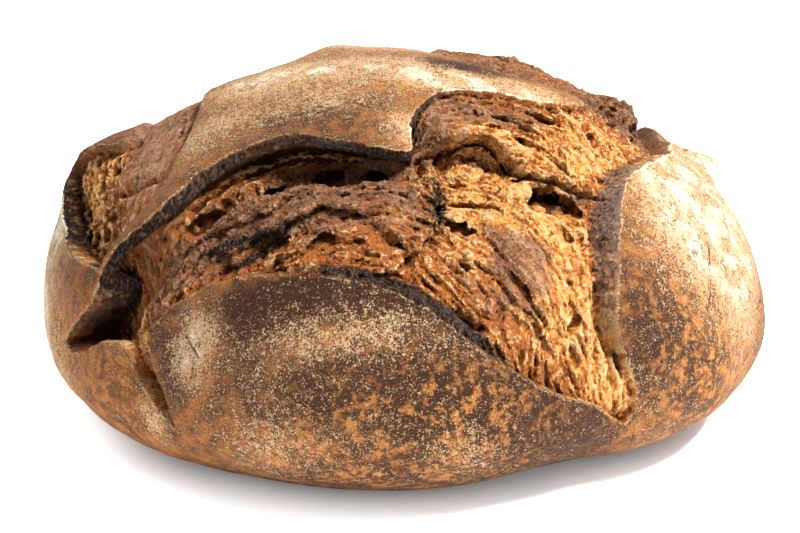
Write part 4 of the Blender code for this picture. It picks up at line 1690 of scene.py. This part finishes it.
        # painted shade: deep places, pits and hollows turn near black
        shade = s.ramp(s.attribute("deep"), 4.5, 12, 0.0, 2.2)
        dark = s.weighed(shade, (flake, -0.8), (fine, -3.2), (crest, -0.9), pit=0.50, hollow=0.45,
                         golden=-0.75)
        return s.mix(s.ramp(dark, 0.60, 1.70, 0.0, 0.95), colour, self.painted_hollow_shade)

    def char_colour(self, s: Shading) -> bpy.types.NodeSocket:
        """Returns the colour of the burnt parts and of the painted shade on the ridge's end and the caves'
        lips: black, and grey-brown where the ash shows.
        """
        streaks = s.noise(self.streak_size, 3, 0.7, (1, 1, 4))
        return s.mix(s.ramp(s.weighed((streaks, 1.3), ash=0.6), 0.65, 1.45), self.char, self.ash)

    def char_share(self, s: Shading, crumb_share: bpy.types.NodeSocket) -> bpy.types.NodeSocket:
        """Finds how burnt the surface is: the crust's cut edge, and the burnt patches and lines, some of them
        painted shade.

        Args:
            s: the material's nodes.
            crumb_share: how much of the surface is crumb.

        Returns:
            The socket that gives it.
        """
        at_edge = s.product(s.ramp(s.attribute("torn"), -0.05, 0.15), s.ramp(s.attribute("cut"), 1.3, 0.7))
        uneven = s.ramp(s.noise(self.edge_patch_size, 4, 0.7), 0.30, 0.55, 0.5, 1.0)
        edge = s.product(at_edge, uneven, s.add(s.attribute("burnt_edge"), 0.15))
        spots = s.weighed((s.noise(self.scorch_size, 4, 0.75), 2.2), char=0.6, burn=1.0)
        return s.math("MAXIMUM", edge, s.product(s.ramp(spots, 1.55, 2.1), crumb_share), clamp=True)

    def normal(self, s: Shading, crumb_share: bpy.types.NodeSocket) -> bpy.types.NodeSocket:
        """Adds the fine unevenness: pores and blisters on the crust, and rough crumb.

        Args:
            s: the material's nodes.
            crumb_share: how much of the surface is crumb.

        Returns:
            The socket that gives the normal.
        """
        blisters = s.bump(s.noise(self.blister_size, 4, 0.7), 1.4 * MM, 0.6)
        pores = s.bump(s.noise(self.pore_size, 2, 0.7), 0.9 * MM, 0.8, blisters)
        rough = s.weighed(s.noise(self.pore_size, 3, 0.8), (s.cell_value(self.flake_size), 0.35))
        return s.bump(s.product(rough, s.add(crumb_share, 0.10)), 2.2 * MM, 1.0, pores)


@dataclass(frozen=True)
class Lamp:
    """A square soft light: its name, place, side and power in watts."""

    name: str
    place: tuple[float, float, float]
    side: float
    power: float

    def hang(self, aim: Vector) -> None:
        """Hangs the light.

        Args:
            aim: the place that it points at.
        """
        light = bpy.data.lights.new(self.name, "AREA")
        light.shape = "SQUARE"
        light.size = self.side
        light.energy = self.power
        lamp = bpy.data.objects.new(self.name, light)
        lamp.location = self.place
        lamp.rotation_euler = (aim - Vector(self.place)).to_track_quat("-Z", "Y").to_euler()
        bpy.context.scene.collection.objects.link(lamp)


@dataclass(frozen=True)
class Studio:
    """A pale seamless floor, soft light and the camera."""

    eye_distance: float = 0.682
    eye_elevation: float = 17.0
    look_height: float = 0.0475
    lens: float = 85.0
    sensor: float = 36.0
    paper: Colour = (0.90, 0.90, 0.91)
    paper_glow: float = 0.05
    paper_roughness: float = 0.9
    paper_half: float = 2.2
    paper_top: float = 2.5
    wash_strength: float = 5.0
    wash_angle: float = 90.0
    wash_tilt: float = 48.0
    sweep_starts: float = 0.9
    sweep_radius: float = 0.7
    sky_strength: float = 0.22
    aim_height: float = 0.06
    lamps: tuple[Lamp, ...] = (
        Lamp("key", (0.50, -0.26, 0.87), 0.28, 34),
        Lamp("fill", (-0.5, -0.9, 0.5), 0.7, 1.1),
        Lamp("rim", (-0.7, 0.5, 0.45), 0.4, 3.6),
    )

    def camera(self, middle: np.ndarray) -> None:
        """Puts the camera in front of the loaf.

        Args:
            middle: how far the belly's centre lies from the middle of the outline.
        """
        target = Vector((-middle[0], -middle[1], self.look_height))
        raised = math.radians(self.eye_elevation)
        eye = target + self.eye_distance * Vector((0, -math.cos(raised), math.sin(raised)))
        lens = bpy.data.cameras.new("camera")
        lens.lens = self.lens
        lens.sensor_width = self.sensor
        camera = bpy.data.objects.new("camera", lens)
        camera.location = eye
        camera.rotation_euler = (target - eye).to_track_quat("-Z", "Y").to_euler()
        bpy.context.scene.collection.objects.link(camera)
        bpy.context.scene.camera = camera

    def floor(self) -> None:
        """Lays the paper: flat under the loaf, and swept up behind it."""
        profile = [(-self.paper_half, 0.0), (self.sweep_starts, 0.0)]
        for turn in np.radians(np.arange(6, 91, 6)):
            profile.append((self.sweep_starts + self.sweep_radius * math.sin(turn),
                            self.sweep_radius * (1 - math.cos(turn))))
        profile.append((self.sweep_starts + self.sweep_radius, self.paper_top))
        points = np.array([(x, y, z) for y, z in profile for x in (-self.paper_half, self.paper_half)])
        faces = np.array([(2 * i, 2 * i + 1, 2 * i + 3, 2 * i + 2) for i in range(len(profile) - 1)])
        paper = mesh_object("studio_paper", points, faces)
        paper.data.shade_smooth()
        s = Shading(Finish.STUDIO.value)
        s.plug(s.shader, {
            "Base Color": (*self.paper, 1), "Roughness": self.paper_roughness, "Specular IOR Level": 0.0,
            "Emission Color": (*self.paper, 1), "Emission Strength": self.paper_glow,
        })
        paper.data.materials.append(s.material)
        self.wash(paper)

    def wash(self, paper: bpy.types.Object) -> None:
        """Adds a wide soft light from above the camera that falls on the paper alone, so that it stays white.

        Args:
            paper: the paper.
        """
        light = bpy.data.lights.new("wash", "SUN")
        light.energy = self.wash_strength
        light.angle = math.radians(self.wash_angle)
        lamp = bpy.data.objects.new("wash", light)
        lamp.rotation_euler = (math.radians(self.wash_tilt), 0, 0)
        lit = bpy.data.collections.new("lit_by_wash")
        lit.objects.link(paper)
        lamp.light_linking.receiver_collection = lit
        bpy.context.scene.collection.objects.link(lamp)

    def light(self) -> None:
        """Lights the scene."""
        world = bpy.data.worlds.new("studio")
        world.use_nodes = True
        sky = world.node_tree.nodes["Background"]
        sky.inputs["Color"].default_value = (1, 1, 1, 1)
        sky.inputs["Strength"].default_value = self.sky_strength
        bpy.context.scene.world = world
        for lamp in self.lamps:
            lamp.hang(Vector((0, 0, self.aim_height)))
        bpy.context.scene.view_settings.view_transform = "Standard"


def clear_startup() -> None:
    """Removes the camera, light and cube of a new file, where there are any."""
    for name in ("Cube", "Camera", "Light"):
        old = bpy.data.objects.get(name)
        if old is not None:
            bpy.data.objects.remove(old)


def main() -> None:
    """Builds the loaf and the studio."""
    logging.basicConfig(level=logging.INFO, format="%(relativeCreated)6d %(message)s")
    clear_startup()
    loaf = Loaf(LoafField(DoughBody(), Scoring(), Baking()))
    piece = loaf.build()
    piece.data.materials.append(BakedFinish().make())
    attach(piece, BODY)
    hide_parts(NODE)
    log.info("%s: %d points", piece.name, len(piece.data.vertices))
    studio = Studio()
    studio.camera(loaf.middle)
    studio.floor()
    studio.light()


if __name__ == "__main__":
    main()
